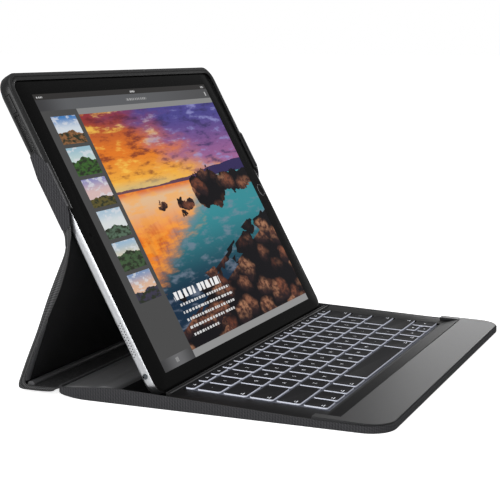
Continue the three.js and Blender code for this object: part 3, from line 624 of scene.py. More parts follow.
# faces of a closed solid pulled or pushed, with nothing left inside it
def drawnOut(made, faces, way):
    moved = extruded(made, faces, way)
    bmesh.ops.delete(made, geom=faces, context="FACES_ONLY")
    return moved


def cutAcross(made, place, way):
    bmesh.ops.bisect_plane(made, geom=made.verts[:] + made.edges[:] + made.faces[:], dist=1e-7,
                           plane_co=place, plane_no=way)


# a section of (y, z) points run across from x0 to x1
def crossBar(points, x0, x1):
    made = bmesh.new()
    section = made.faces.new([made.verts.new((x0, y, z)) for y, z in points])
    extruded(made, [section], (x1 - x0, 0, 0))
    return made


def makePiece(name, made, body, finishes, replaced=(), smoothAngle=35, turn=None):
    if turn is not None:
        made.transform(turn)
    bmesh.ops.recalc_face_normals(made, faces=made.faces)
    mesh = bpy.data.meshes.new(name)
    made.to_mesh(mesh)
    made.free()
    piece = bpy.data.objects.new(name, mesh)
    scene.collection.objects.link(piece)
    for finish in finishes:
        mesh.materials.append(finish)
    mesh.shade_smooth()
    mesh.set_sharp_from_angle(angle=math.radians(smoothAngle))
    if isinstance(body, str):
        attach(piece, body)
    if replaced:
        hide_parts(*replaced)
    return piece


def softened(node, body, finish, offset=0.3, segments=2, degrees=25):
    made = mergedCopy(node)
    roundEdges(made, sharpEdges(made, degrees), offset * mm, segments)
    return makePiece(node + "_finish", made, body, [finish], (node,))


# a piecewise line through (place, height) points, eased at its corners
def easedHeight(line, place, ease):
    def straight(at):
        at = min(max(at, line[0][0]), line[-1][0])
        for (a, low), (b, high) in zip(line, line[1:]):
            if at <= b:
                return low + (high - low) * (at - a) / (b - a)
        return line[-1][1]
    return sum(straight(place + ease * k / 3) for k in range(-3, 4)) / 7


# a smooth curve through (y, z) points, read by its share of length
def smoothPath(points, steps=16):
    line = [Vector(p) for p in points]
    line = [2 * line[0] - line[1]] + line + [2 * line[-1] - line[-2]]
    dense = []
    for i in range(1, len(line) - 2):
        a, b, c, d = line[i - 1:i + 3]
        for k in range(steps):
            t = k / steps
            dense.append(0.5 * (2 * b + (c - a) * t + (2 * a - 5 * b + 4 * c - d) * t * t
                                + (3 * b - a - 3 * c + d) * t ** 3))
    dense.append(line[-2])
    marks = [0.0]
    for a, b in zip(dense, dense[1:]):
        marks.append(marks[-1] + (b - a).length)

    def at(share):
        want = min(max(share, 0), 1) * marks[-1]
        for i in range(1, len(marks)):
            if want <= marks[i]:
                step = (want - marks[i - 1]) / max(marks[i] - marks[i - 1], 1e-9)
                return dense[i - 1].lerp(dense[i], step)
        return dense[-1]
    return at, marks[-1]


def turnOf(node, towards):
    widest = max((p for p in nodes[node].data.polygons if p.normal.dot(towards) > 0.6), key=lambda p: p.area)
    return Matrix.Rotation(math.atan2(-widest.normal.y, widest.normal.z), 4, "X")


def turnedBox(node, turn):
    places = [turn.inverted() @ v.co for v in nodes[node].data.vertices]
    low = Vector([min(p[i] for p in places) for i in range(3)])
    high = Vector([max(p[i] for p in places) for i in range(3)])
    return low, high


finishes = makeFinishes()
makeStudio()
print("studio and finishes are ready")
keyTurn = turnOf("key_space", Vector((0, 0, 1)))
tabletTurn = turnOf("tablet_glass", Vector((0, -0.88, 0.47)))


# the base

def rimLine():
    low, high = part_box("base_cover")
    tops = {}
    for v in nodes["base_cover"].data.vertices:
        if v.co.x > high.x - 0.1 * mm:
            y = round(v.co.y, 5)
            tops[y] = max(tops.get(y, 0), v.co.z)
    line = sorted(tops.items())
    return [(low.y, line[0][1])] + line + [(high.y, line[-1][1])]


baseCover = {"wall": 1.6, "floor": 0.8, "frontRadius": 17.0, "rearRadius": 6.0, "rimRound": 0.7,
             "footRound": 1.5, "station": 6.0, "ease": 7.0, "liftReach": 14.0, "liftStart": 88.0, "lift": 3.4}


# how far the underside rises towards the two rear corners
def footLift(x, y, high):
    along = min(max((y - baseCover["liftStart"] * mm) / (high.y - baseCover["liftStart"] * mm), 0), 1)
    across = (abs(x) - high.x + baseCover["liftReach"] * mm) / (baseCover["liftReach"] * mm)
    return baseCover["lift"] * mm * along ** 2.2 * min(max(across, 0), 1) ** 1.5


def makeBaseCover():
    low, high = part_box("base_cover")
    rim = rimLine()
    made = roundedPlate(low, high, baseCover["frontRadius"] * mm, baseCover["rearRadius"] * mm)
    count = int((high.y - low.y) / (baseCover["station"] * mm))
    for i in range(1, count):
        cutAcross(made, (0, low.y + (high.y - low.y) * i / count, 0), (0, 1, 0))
    top = extruded(made, made.faces[:], (0, 0, 10 * mm))
    for v in {v for f in top for v in f.verts}:
        v.co.z = easedHeight(rim, v.co.y, baseCover["ease"] * mm)
    bmesh.ops.inset_region(made, faces=top, thickness=baseCover["wall"] * mm, use_even_offset=True,
                           use_boundary=True)
    inner = drawnOut(made, top, (0, 0, -1 * mm))
    for v in {v for f in inner for v in f.verts}:
        v.co.z = baseCover["floor"] * mm
    for k in (4, 8, 14):
        for side in (-1, 1):
            cutAcross(made, (side * (high.x - k * mm), 0, 0), (1, 0, 0))
    for v in made.verts:
        if v.co.z < 2 * mm:
            v.co.z += footLift(v.co.x, v.co.y, high)
    bmesh.ops.recalc_face_normals(made, faces=made.faces)
    rimEdges, footEdges = [], []
    for e in sharpEdges(made, 40):
        if all(v.co.z < footLift(v.co.x, v.co.y, high) + 0.01 * mm for v in e.verts):
            footEdges.append(e)
        elif all(v.co.z > 3 * mm for v in e.verts):
            rimEdges.append(e)
    roundEdges(made, footEdges, baseCover["footRound"] * mm, 3)
    roundEdges(made, rimEdges, baseCover["rimRound"] * mm, 3)
    makePiece("base_weave", made, "base", [finishes["woven"]], ("base_cover",), 60)


def makeBaseBoard():
    low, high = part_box("base_board")
    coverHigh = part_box("base_cover")[1]
    made = roundedPlate(low, high, 12 * mm, 12 * mm)
    for k in (6, 10, 16):
        for side in (-1, 1):
            cutAcross(made, (side * (coverHigh.x - k * mm), 0, 0), (1, 0, 0))
    for i in range(1, 20):
        cutAcross(made, (0, low.y + (high.y - low.y) * i / 20, 0), (0, 1, 0))
    extruded(made, made.faces[:], (0, 0, high.z - low.z))
    for v in made.verts:
        v.co.z += footLift(v.co.x, v.co.y, coverHigh)
    makePiece("base_core", made, "base", [finishes["board"]], ("base_board",))


palm = {"frontRadius": 16.2, "armReach": 16.5, "armWidth": 7.0, "armFillet": 6.0, "armFoot": 4.7,
        "chamfer": 0.4}


def makePalmRest():
    low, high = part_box("palm_rest")
    bottoms = sorted((v.co.y, v.co.z) for v in nodes["palm_rest"].data.vertices)
    frontTop = max(z for y, z in bottoms if y < low.y + 0.1 * mm)
    rise = (high.z - frontTop) / (high.y - low.y)
    thickness = frontTop - low.z
    armRear = high.y + palm["armReach"] * mm
    made = roundedPlate(low, (high.x, armRear, low.z), palm["frontRadius"] * mm, 0)
    inner = high.x - palm["armWidth"] * mm
    cutAcross(made, (0, high.y, 0), (0, 1, 0))
    for x in (-inner, inner):
        cutAcross(made, (x, 0, 0), (1, 0, 0))
    behind = [f for f in made.faces if f.calc_center_median().y > high.y]
    hole = [f for f in behind if abs(f.calc_center_median().x) < inner]
    bmesh.ops.delete(made, geom=hole, context="FACES")
    extruded(made, made.faces[:], (0, 0, thickness))
    bmesh.ops.dissolve_limit(made, angle_limit=0.01, verts=made.verts, edges=made.edges)
    fillets = [e for e in made.edges if all(abs(abs(v.co.x) - inner) < 1e-6 and abs(v.co.y - high.y) < 1e-6
                                            for v in e.verts)]
    roundEdges(made, fillets, palm["armFillet"] * mm, 8)
    topEdges = [e for e in sharpEdges(made, 60) if all(v.co.z > low.z + 0.9 * thickness for v in e.verts)]
    roundEdges(made, topEdges, palm["chamfer"] * mm, 1)
    for v in made.verts:
        lower = v.co.z < low.z + 0.5 * thickness
        v.co.z += rise * (v.co.y - low.y)
        if lower and v.co.y > high.y + 1 * mm:
            v.co.z = palm["armFoot"] * mm
    makePiece("palm_plate", made, "base", [finishes["anodised"]], ("palm_rest",), 20)


bar = {"ridge": 0.9, "grooveDepth": 0.7, "chamfer": 0.3}


def makeDockBar():
    low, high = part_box("dock_bar")
    c, r, g = bar["chamfer"] * mm, bar["ridge"] * mm, bar["grooveDepth"] * mm
    points = [(low.y, low.z), (high.y, low.z), (high.y, high.z - c), (high.y - c, high.z),
              (high.y - r, high.z), (high.y - r - c, high.z - g), (low.y + r + c, high.z - g),
              (low.y + r, high.z), (low.y + c, high.z), (low.y, high.z - c)]
    made = crossBar(points, low.x, high.x)
    roundEdges(made, [e for e in sharpEdges(made, 60) if e.calc_length() < 5 * mm], 0.2 * mm, 1)
    # the ridge tops and their chamfers get the lighter metal as painted highlights; every face below them
    # gets the near-black of the bar's body
    for f in made.faces:
        middle = f.calc_center_median()
        f.material_index = int(middle.z < high.z - 0.2 * mm)
    makePiece("dock_rail", made, "base", [finishes["barMetalAndRidgeHighlight"], finishes["barGroove"]],
              ("dock_bar",), 25)


flap = {"endRound": 1.0, "slice": 6.0, "sag": 0.10}


def makeFlap():
    low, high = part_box("hinge_flap")
    depth = high.y - low.y
    crown = high.z
    top = [(low.y + 0.3 * mm, low.z + 1.4 * mm), (low.y + 1.6 * mm, crown - 1.0 * mm),
           (low.y + 5.0 * mm, crown - 0.1 * mm), (low.y + 8.5 * mm, crown - 0.35 * mm),
           (low.y + 13 * mm, crown - 1.35 * mm), (low.y + 0.52 * depth, crown - 1.75 * mm),
           (low.y + 0.8 * depth, crown - 2.5 * mm), (high.y - 3 * mm, crown - 3.6 * mm),
           (high.y, crown - 4.1 * mm)]
    at, _ = smoothPath(top)
    steps = 34
    upper = [at(i / steps) for i in range(steps + 1)]
    bottom = [(high.y, crown - 4.5 * mm), (high.y - 20 * mm, low.z + 0.6 * mm), (low.y + 2 * mm, low.z),
              (low.y, low.z + 0.3 * mm)]
    made = crossBar([tuple(p) for p in upper] + bottom, low.x + 0.5 * mm, high.x - 0.5 * mm)
    slices = int((high.x - low.x) / (flap["slice"] * mm))
    for i in range(1, slices):
        cutAcross(made, (low.x + (high.x - low.x) * i / slices, 0, 0), (1, 0, 0))
    ends = [e for e in sharpEdges(made, 60) if abs(abs(e.verts[0].co.x) - abs(e.verts[1].co.x)) < 1e-6
            and abs(e.verts[0].co.x) > high.x - 1 * mm and e.verts[0].co.z > low.z + 0.5 * mm]
    roundEdges(made, ends, flap["endRound"] * mm, 3)
    for v in made.verts:
        inside = abs(v.co.x) < high.x - 4 * mm and v.co.z > low.z + 1.5 * mm
        if inside and low.y + 3 * mm < v.co.y < high.y - 4 * mm:
            v.co.z += flap["sag"] * mm * (noise.noise(v.co * 16) - 0.6)
    made = makePiece("hinge_flap_pad", made, "base", [finishes["flap"]], ("hinge_flap",), 50)


stitches = {"length": 1.7, "pitch": 2.6, "width": 0.35, "inset": 4.0}


def makeDeckStitches():
    low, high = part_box("rear_deck")
    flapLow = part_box("hinge_flap")[0]
    made = bmesh.new()
    y = flapLow.y - 1.5 * mm
    while y > flapLow.y - 20 * mm:
        for side in (-1, 1):
            dash = bmesh.ops.create_cube(made, size=mm)["verts"]
            bmesh.ops.scale(made, vec=(stitches["width"], stitches["length"], 0.2), verts=dash)
            place = (side * (high.x - stitches["inset"] * mm), y, 6.12 * mm)
            bmesh.ops.translate(made, vec=place, verts=dash)
        y -= stitches["pitch"] * mm
    roundEdges(made, made.edges[:], 0.06 * mm, 1)
    makePiece("deck_stitches", made, "base", [finishes["hem"]])


makeBaseCover()
makeBaseBoard()
makePalmRest()
makeDockBar()
makeFlap()
makeDeckStitches()
softened("key_frame", "base", finishes["moulded"], 0.5, 3)
softened("rear_deck", "base", finishes["moulded"], 0.4, 3)
print("base is ready")


# the keys

keyRows = {
    "keys_bottom_letters": "ZXCVBNM,./",
    "keys_home_letters": "ASDFGHJKL;'",
    "keys_top_letters": "QWERTYUIOP[]\\",
    "keys_numbers": "`1234567890-=",
}
keyMarks = {"key_arrow_left": 180, "key_arrow_right": 0, "key_arrow_up": 90, "key_arrow_down": -90}
cap = {"corner": 1.8, "edge": 0.28, "dish": 0.16, "dishInset": 1.2, "mark": 3.0, "markThick": 0.03}


# boxes of a node's caps, in the keys' own turned places, from left to right
def capBoxes(node, turn, thickness):
    made = mergedCopy(node)
    made.transform(turn.inverted())
    top = max(v.co.z for v in made.verts)
    lower = [f for f in made.faces if f.calc_center_median().z < top - 0.1 * mm]
    bmesh.ops.delete(made, geom=lower, context="FACES")
    left, found = set(made.verts), []
    while left:
        group, edge = set(), [left.pop()]
        while edge:
            v = edge.pop()
            group.add(v)
            for e in v.link_edges:
                other = e.other_vert(v)
                if other in left:
                    left.discard(other)
                    edge.append(other)
        low = Vector([min(v.co[i] for v in group) for i in range(3)])
        high = Vector([max(v.co[i] for v in group) for i in range(3)])
        found.append((low - Vector((0, 0, thickness)), high))
    made.free()
    return sorted(found, key=lambda box: box[0].x)


def addCap(made, low, high):
    one = roundedPlate(low, high, cap["corner"] * mm, cap["corner"] * mm, 4)
    extruded(one, one.faces[:], (0, 0, high.z - low.z))
    bmesh.ops.recalc_face_normals(one, faces=one.faces)
    upper = [e for e in sharpEdges(one, 60) if all(v.co.z > high.z - 0.01 * mm for v in e.verts)]
    roundEdges(one, upper, cap["edge"] * mm, 2)
    top = [max(one.faces, key=lambda f: f.calc_area() if f.normal.z > 0.9 else 0)]
    bmesh.ops.inset_region(one, faces=top, thickness=cap["dishInset"] * mm, depth=-cap["dish"] * mm,
                           use_even_offset=True)
    # side walls get the glowing skirt finish: painted light of the lit outlines round the caps
    for f in one.faces:
        f.material_index = int(f.normal.z < 0.5)
    mesh = bpy.data.meshes.new("cap")
    one.to_mesh(mesh)
    one.free()
    made.from_mesh(mesh)
    bpy.data.meshes.remove(mesh)


# a letter, number or plain sign on a cap, a little proud of the dish
def addMark(made, text, x, y, z, size, turn=0):
    curve = bpy.data.curves.new("mark", "FONT")
    curve.body = text
    curve.size = size * mm
    curve.resolution_u = 2
    curve.extrude = cap["markThick"] * mm / 2
    curve.align_x, curve.align_y = "CENTER", "CENTER"
    holder = bpy.data.objects.new("mark", curve)
    scene.collection.objects.link(holder)
    bpy.context.view_layer.update()
    mesh = bpy.data.meshes.new_from_object(holder.evaluated_get(bpy.context.evaluated_depsgraph_get()))
    mesh.transform(Matrix.Translation((x, y, z)) @ Matrix.Rotation(math.radians(turn), 4, "Z"))
    before = len(made.faces)
    made.from_mesh(mesh)
    made.faces.ensure_lookup_table()
    for f in made.faces[before:]:
        f.material_index = 2
    bpy.data.objects.remove(holder)
    bpy.data.curves.remove(curve)
    bpy.data.meshes.remove(mesh)


def addBarMark(made, x, y, z, width, depth):
    before = len(made.faces)
    sign = bmesh.ops.create_cube(made, size=mm)["verts"]
    bmesh.ops.scale(made, vec=(width, depth, cap["markThick"]), verts=sign)
    bmesh.ops.translate(made, vec=(x, y, z), verts=sign)
    made.faces.ensure_lookup_table()
    for f in made.faces[before:]:
        f.material_index = 2


def addTriangle(made, x, y, z, size, turn):
    before = len(made.faces)
    sign = bmesh.ops.create_cone(made, cap_ends=True, segments=3, radius1=size * mm, radius2=size * mm,
                                 depth=cap["markThick"] * mm)["verts"]
    pointing = Matrix.Rotation(math.radians(turn + 90), 3, "Z")
    bmesh.ops.rotate(made, cent=(0, 0, 0), matrix=pointing, verts=sign)
    bmesh.ops.translate(made, vec=(x, y, z), verts=sign)
    made.faces.ensure_lookup_table()
    for f in made.faces[before:]:
        f.material_index = 2


def markKey(made, node, index, low, high):
    x, y = (low.x + high.x) / 2, (low.y + high.y) / 2
    z = high.z - (cap["dish"] - cap["markThick"]) * mm
    wide, deep = high.x - low.x, high.y - low.y
    if node in keyRows:
        addMark(made, keyRows[node][index], x, y, z, cap["mark"] * 1.15)
    elif node in keyMarks:
        addTriangle(made, x, y, z, 1.1, keyMarks[node])
    elif node == "keys_functions":
        addBarMark(made, x, y, z, 2.6, 0.5)
        addBarMark(made, x, y + 1.1 * mm, z, 1.4, 0.4)
    elif node != "key_space":
        side = 1 if x > 0 else -1
        markX = x + side * (wide / 2 - 4.2 * mm)
        addBarMark(made, markX, y - deep / 2 + 3.4 * mm, z, 3.8, 0.55)
        addBarMark(made, markX, y - deep / 2 + 4.8 * mm, z, 2.2, 0.45)


def makeKeys():
    keyNodes = sorted(n for n in nodes if n.startswith("key_") and n not in ("key_frame", "key_support"))
    keyNodes += sorted(n for n in nodes if n.startswith("keys_"))
    spaceLow, spaceHigh = turnedBox("key_space", keyTurn)
    for node in keyNodes:
        made = bmesh.new()
        boxes = capBoxes(node, keyTurn, spaceHigh.z - spaceLow.z)
        for low, high in boxes:
            addCap(made, low, high)
        for index, (low, high) in enumerate(boxes):
            markKey(made, node, index, low, high)
        makePiece(node + "_caps", made, node, [finishes["key"], finishes["keySkirt"], finishes["legend"]],
                  (node,), 40, keyTurn)


makeKeys()
print("keys are ready")


# the spine, the leg and their lining

leg = {
    "outer": [(134, 1.9), (138.3, 2.05), (140.4, 3.4), (140.0, 6.4), (133.4, 22.5), (125.6, 40.5),
              (117.9, 60.5), (112.8, 72.5), (108.4, 82.4), (104.4, 91.5), (102.9, 98.5), (103.3, 104.5)],
    "inner": [(133.2, 4.8), (135.0, 5.6), (135.6, 8.0), (134.2, 12.5), (127.9, 27.5), (120.2, 44.5),
              (114.2, 57.0), (108.3, 69.5), (104.5, 80.0), (101.4, 91.0), (100.4, 98.0), (101.0, 104.5)],
    "heelStart": [(129.5, 2.3), (134, 2.0)],
    "skin": 0.9,
    "halfWidth": 155.4,
    "liningHalfWidth": 154.4,
    "boardHalfWidth": 151.0,
    "ribPitch": 1.2,
    "flat": 0.2,
    "ribDepth": 0.16,
}


spine = {
    "outer": [(113.6, 3.6), (116.0, 2.6), (121.0, 2.05), (128.0, 1.9), (134.5, 1.95)],
    "inner": [(112.6, 5.4), (116.0, 5.0), (121.0, 4.8), (128.0, 4.7), (133.6, 4.9)],
}


# a sheet that follows a path of (y, z) points and reaches halfWidth to each side
def makeSheet(name, path, halfWidth, thickness, across, along, body, finish, replaced, shape=None):
    at, length = smoothPath([(y * mm, z * mm) for y, z in path])
    made = bmesh.new()
    bmesh.ops.create_grid(made, x_segments=across, y_segments=along, size=0.5, calc_uvs=True)
    layer = made.loops.layers.uv.verify()
    for f in made.faces:
        for loop in f.loops:
            loop[layer].uv = ((loop.vert.co.x + 0.5) * 2 * halfWidth * mm, (loop.vert.co.y + 0.5) * length)
    for v in made.verts:
        side, share = v.co.x * 2, v.co.y + 0.5
        y, z = at(share)
        v.co = Vector((side * halfWidth * mm, y, z))
        if shape:
            v.co += shape(side, share, v.co)
    bmesh.ops.solidify(made, geom=made.faces[:], thickness=thickness * mm)
    return makePiece(name, made, body, [finish], replaced, 60), length


def blendAtSpineFold(piece):
    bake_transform(piece)


def blendAtLegFold(piece):
    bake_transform(piece)


def blendAtHolderFold(piece):
    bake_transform(piece)


# the leg bows while it props the tablet; each leg piece here only gets its own copy of its mesh
def flattenLeg(piece):
    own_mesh(piece)


def makeSpineAndLeg():
    spinePath = [(109.6, 5.6), (111.4, 5.2), (113.2, 3.9), (116.0, 2.6), (121.0, 2.05), (128.0, 1.9),
                 (134.6, 1.9)]
    piece, length = makeSheet("spine_weave", spinePath, leg["halfWidth"], -0.8, 60, 24, None,
                              finishes["wovenFold"], ("spine_cover",))
    blendAtSpineFold(piece)
    heelPath = leg["heelStart"] + leg["outer"][1:4]
    piece, length = makeSheet("heel_weave", heelPath, leg["halfWidth"], -leg["skin"], 60, 20, None,
                              finishes["wovenFold"], ())
    blendAtLegFold(piece)
    piece, length = makeSheet("leg_weave", leg["outer"][3:], leg["halfWidth"], -leg["skin"], 60, 70, "leg",
                              finishes["wovenFold"], ("leg_cover",))
    flattenLeg(piece)


# the ribbed edge of two sheets: it runs from the outer path to the inner one and bulges a little
def makeEdgeBand(name, side, outer, inner, body=None, spread=0.0):
    outerAt, length = smoothPath([(y * mm, z * mm) for y, z in outer])
    innerAt, _ = smoothPath([(y * mm, z * mm) for y, z in inner])
    made = bmesh.new()
    along = int(length / (leg["ribPitch"] * mm) * 4)
    bmesh.ops.create_grid(made, x_segments=6, y_segments=along, size=0.5)
    layer = made.loops.layers.uv.verify()
    for f in made.faces:
        for loop in f.loops:
            loop[layer].uv = ((loop.vert.co.x + 0.5) * 5 * mm, (loop.vert.co.y + 0.5) * length)
    for v in made.verts:
        across, share = v.co.x + 0.5, v.co.y + 0.5
        point = outerAt(share).lerp(innerAt(share), across)
        ripple = math.cos(2 * math.pi * share * length / (leg["ribPitch"] * mm))
        swell = math.sin(math.pi * across)
        x = leg["halfWidth"] * mm - 0.5 * mm + swell * (0.45 + leg["ribDepth"] * ripple) * mm
        x += spread * share * mm
        v.co = Vector((side * x, point.x, point.y))
    bmesh.ops.recalc_face_normals(made, faces=made.faces)
    bmesh.ops.solidify(made, geom=made.faces[:], thickness=0.3 * mm)
    return makePiece(name, made, body, [finishes["rib"]], (), 60)


# a narrow satin edge turned back over the lining; it widens towards the spine
def makeInnerHem(name, side):
    innerAt, length = smoothPath([(y * mm, z * mm) for y, z in leg["inner"]])
    made = bmesh.new()
    bmesh.ops.create_grid(made, x_segments=4, y_segments=36, size=0.5)
    for v in made.verts:
        across, share = v.co.x + 0.5, (v.co.y + 0.5) * 0.42 + 0.04
        width = 6.2 * (1 - (share - 0.04) / 0.42) ** 0.8 + 0.4
        point = innerAt(share)
        lift = (0.35 + 0.9 * math.sin(math.pi * across) * (0.46 - share) * 2) * mm
        v.co = Vector((side * (leg["halfWidth"] * mm - 0.5 * mm - across * width * mm), point.x - lift * 0.94,
                       point.y - lift * 0.33))
    bmesh.ops.recalc_face_normals(made, faces=made.faces)
    bmesh.ops.solidify(made, geom=made.faces[:], thickness=0.2 * mm)
    return makePiece(name, made, "leg", [finishes["hem"]], (), 60)


def makeLegInside():
    piece, length = makeSheet("leg_suede", leg["inner"][2:], leg["liningHalfWidth"], 0.5, 60, 70, "leg",
                              finishes["suede"], ("leg_lining",), wrinkle)
    flattenLeg(piece)
    faces = zip(leg["outer"][4:-2], leg["inner"][4:-2])
    middle = [(0.5 * (a[0] + b[0]), 0.5 * (a[1] + b[1])) for a, b in faces]
    core, _ = makeSheet("leg_core", middle, leg["boardHalfWidth"], 1.0, 8, 50, "leg", finishes["board"],
                        ("leg_board",))
    flattenLeg(core)
    for side, word in ((-1, "left"), (1, "right")):
        flattenLeg(makeEdgeBand("leg_edge_" + word, side, leg["outer"][3:], leg["inner"][3:], "leg"))
        blendAtLegFold(makeEdgeBand("heel_edge_" + word, side, leg["outer"][:4], leg["inner"][:4]))
        flattenLeg(makeInnerHem("leg_hem_" + word, side))
        blendAtSpineFold(makeEdgeBand("spine_edge_" + word, side, spine["outer"], spine["inner"]))
    piece, length = makeSheet("spine_suede", spine["inner"], leg["liningHalfWidth"], 0.5, 60, 20, None,
                              finishes["suede"], ("spine_lining",), wrinkle)
    blendAtSpineFold(piece)
    # a roll along the lining's fold, in the lighter grey of a painted highlight along its ridge
    ring = [a * math.pi / 8 for a in range(16)]
    reach = leg["liningHalfWidth"] * mm - 1 * mm
    section = [((132.2 + 2.5 * math.cos(a)) * mm, (5.6 + 1.9 * math.sin(a)) * mm) for a in ring]
    roll = crossBar(section, -reach, reach)
    for i in range(1, 60):
        cutAcross(roll, (-reach + 2 * reach * i / 60, 0, 0), (1, 0, 0))
    for v in roll.verts:
        v.co.z += 0.35 * mm * noise.noise(Vector((v.co.x * 22, 0.2, 1.7)))
    piece = makePiece("lining_crease", roll, "spine", [finishes["crease"]], (), 50)
    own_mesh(piece)


# shallow puckers of a lining held at its edges
def wrinkle(side, share, point):
    rise = 0.5 * noise.noise(Vector((point.x * 18, point.z * 26, 3.1)))
    rise += 0.25 * noise.noise(Vector((point.x * 60, point.z * 50, 8.4)))
    return Vector((0, -rise * mm * math.sin(math.pi * share), 0))


def makeFoldStrip():
    back = [(102.9, 98.0), (103.0, 101.0), (103.3, 104.3), (104.2, 107.1), (105.35, 109.4), (107.6, 113.6)]
    front = [(100.4, 96.0), (99.8, 100.0), (98.9, 104.0), (98.5, 107.0), (98.6, 110.0), (99.4, 114.5)]
    piece, length = makeSheet("fold_weave", back, leg["halfWidth"] + 0.6, -1.6, 60, 24, None,
                              finishes["wovenFold"], ())
    blendAtHolderFold(piece)
    for side, word in ((-1, "left"), (1, "right")):
        blendAtHolderFold(makeEdgeBand("neck_edge_" + word, side, back, front, None, 1.4))


makeSpineAndLeg()
makeLegInside()
makeFoldStrip()
print("spine and leg are ready")


# the holder, in the tablet's own turned places

def tabletPlace(x, up, out):
    return Vector((x * mm, tabletEdge.y + up * mm, tabletEdge.z + out * mm))


tabletEdge = Vector((0, turnedBox("tablet_housing", tabletTurn)[0].y,
                     turnedBox("tablet_glass", tabletTurn)[1].z))
holder = {
    "half": 157.0, "top": 225.5, "corner": 13.0, "end": 130.0, "back": -8.9,
    "windowFoot": 172.5, "windowHead": 197.8, "windowMiddle": -3.45, "windowHalf": 1.9,
}


# cuts tool out of made and gives the result
def carved(made, tool):
    objects = []
    for shape in (made, tool):
        bmesh.ops.recalc_face_normals(shape, faces=shape.faces)
        mesh = bpy.data.meshes.new("carving")
        shape.to_mesh(mesh)
        shape.free()
        objects.append(bpy.data.objects.new("carving", mesh))
        scene.collection.objects.link(objects[-1])
    body, cutter = objects
    cut = body.modifiers.new("cut", "BOOLEAN")
    cut.object, cut.operation, cut.solver = cutter, "DIFFERENCE", "EXACT"
    bpy.context.view_layer.update()
    mesh = bpy.data.meshes.new_from_object(body.evaluated_get(bpy.context.evaluated_depsgraph_get()))
    result = bmesh.new()
    result.from_mesh(mesh)
    for thing in objects:
        bpy.data.objects.remove(thing)
    bpy.data.meshes.remove(mesh)
    return result


def addBox(made, low, high):
    verts = bmesh.ops.create_cube(made, size=1)["verts"]
    bmesh.ops.scale(made, vec=high - low, verts=verts)
    bmesh.ops.translate(made, vec=(low + high) / 2, verts=verts)
    return verts


def addRod(made, centre, radius, length, axis, segments=20):
    verts = bmesh.ops.create_cone(made, cap_ends=True, segments=segments, radius1=radius * mm,
                                  radius2=radius * mm, depth=length * mm)["verts"]
    if axis == "X":
        bmesh.ops.rotate(made, cent=(0, 0, 0), matrix=Matrix.Rotation(math.pi / 2, 3, "Y"), verts=verts)
    bmesh.ops.translate(made, vec=centre, verts=verts)
    return verts


# the rubber frame: its section is carried up one side, round the two corners and down the other
def makeHolderFrame():
    section = [(0, -4.4), (0, 0.1), (0.45, 0.85), (1.1, 1.2), (2.7, 1.2), (3.05, 0.7), (3.45, 0.7),
               (3.8, 1.2), (5.1, 1.2), (5.65, 0.85), (5.65, 0.35), (4.0, 0.35), (4.0, -7.15),
               (12.0, -7.15), (12.0, -8.9), (4.5, -8.9), (2.78, -8.56), (1.32, -7.58), (0.34, -6.12)]
    half, top, corner, end = holder["half"], holder["top"], holder["corner"], holder["end"]
    made = bmesh.new()
    face = made.faces.new([made.verts.new(tabletPlace(-half + d, end, out)) for d, out in section])
    tip = extruded(made, [face], (0, (top - corner - end) * mm, 0))
    for centre, run in (((-half + corner), (2 * (half - corner) * mm, 0, 0)),
                        ((half - corner), (0, (end - top + corner) * mm, 0))):
        geometry = tip + [e for f in tip for e in f.edges] + [v for f in tip for v in f.verts]
        swept = bmesh.ops.spin(made, geom=list(set(geometry)), cent=tabletPlace(centre, top - corner, 0),
                               axis=(0, 0, -1), dvec=(0, 0, 0), angle=math.pi / 2, steps=10, use_merge=False,
                               use_duplicate=False)["geom_last"]
        tip = [g for g in swept if isinstance(g, bmesh.types.BMFace)]
        tip = drawnOut(made, tip, run)
    bmesh.ops.remove_doubles(made, verts=made.verts, dist=1e-6)
    tool = bmesh.new()
    middle, thick = holder["windowMiddle"], holder["windowHalf"]
    for side in (-1, 1):
        ends = sorted((side * (half + 1), side * (half - 6)))
        addBox(tool, tabletPlace(ends[0], holder["windowFoot"], middle - thick),
               tabletPlace(ends[1], holder["windowHead"], middle + thick))
    low, high = turnedBox("power_button_cover", tabletTurn)
    addBox(tool, low - Vector((1, 0.25, 0.25)) * mm, high + Vector((1, 0.25, 0.25)) * mm)
    for node in ("volume_up_cover", "volume_down_cover"):
        low, high = turnedBox(node, tabletTurn)
        addBox(tool, low - Vector((0.25, 1, 0.25)) * mm, high + Vector((0.25, 1, 0.25)) * mm)
    made = carved(made, tool)
    makePiece("holder_rubber", made, "holder", [finishes["rubber"]], ("holder_frame",), 35,
              tabletTurn)


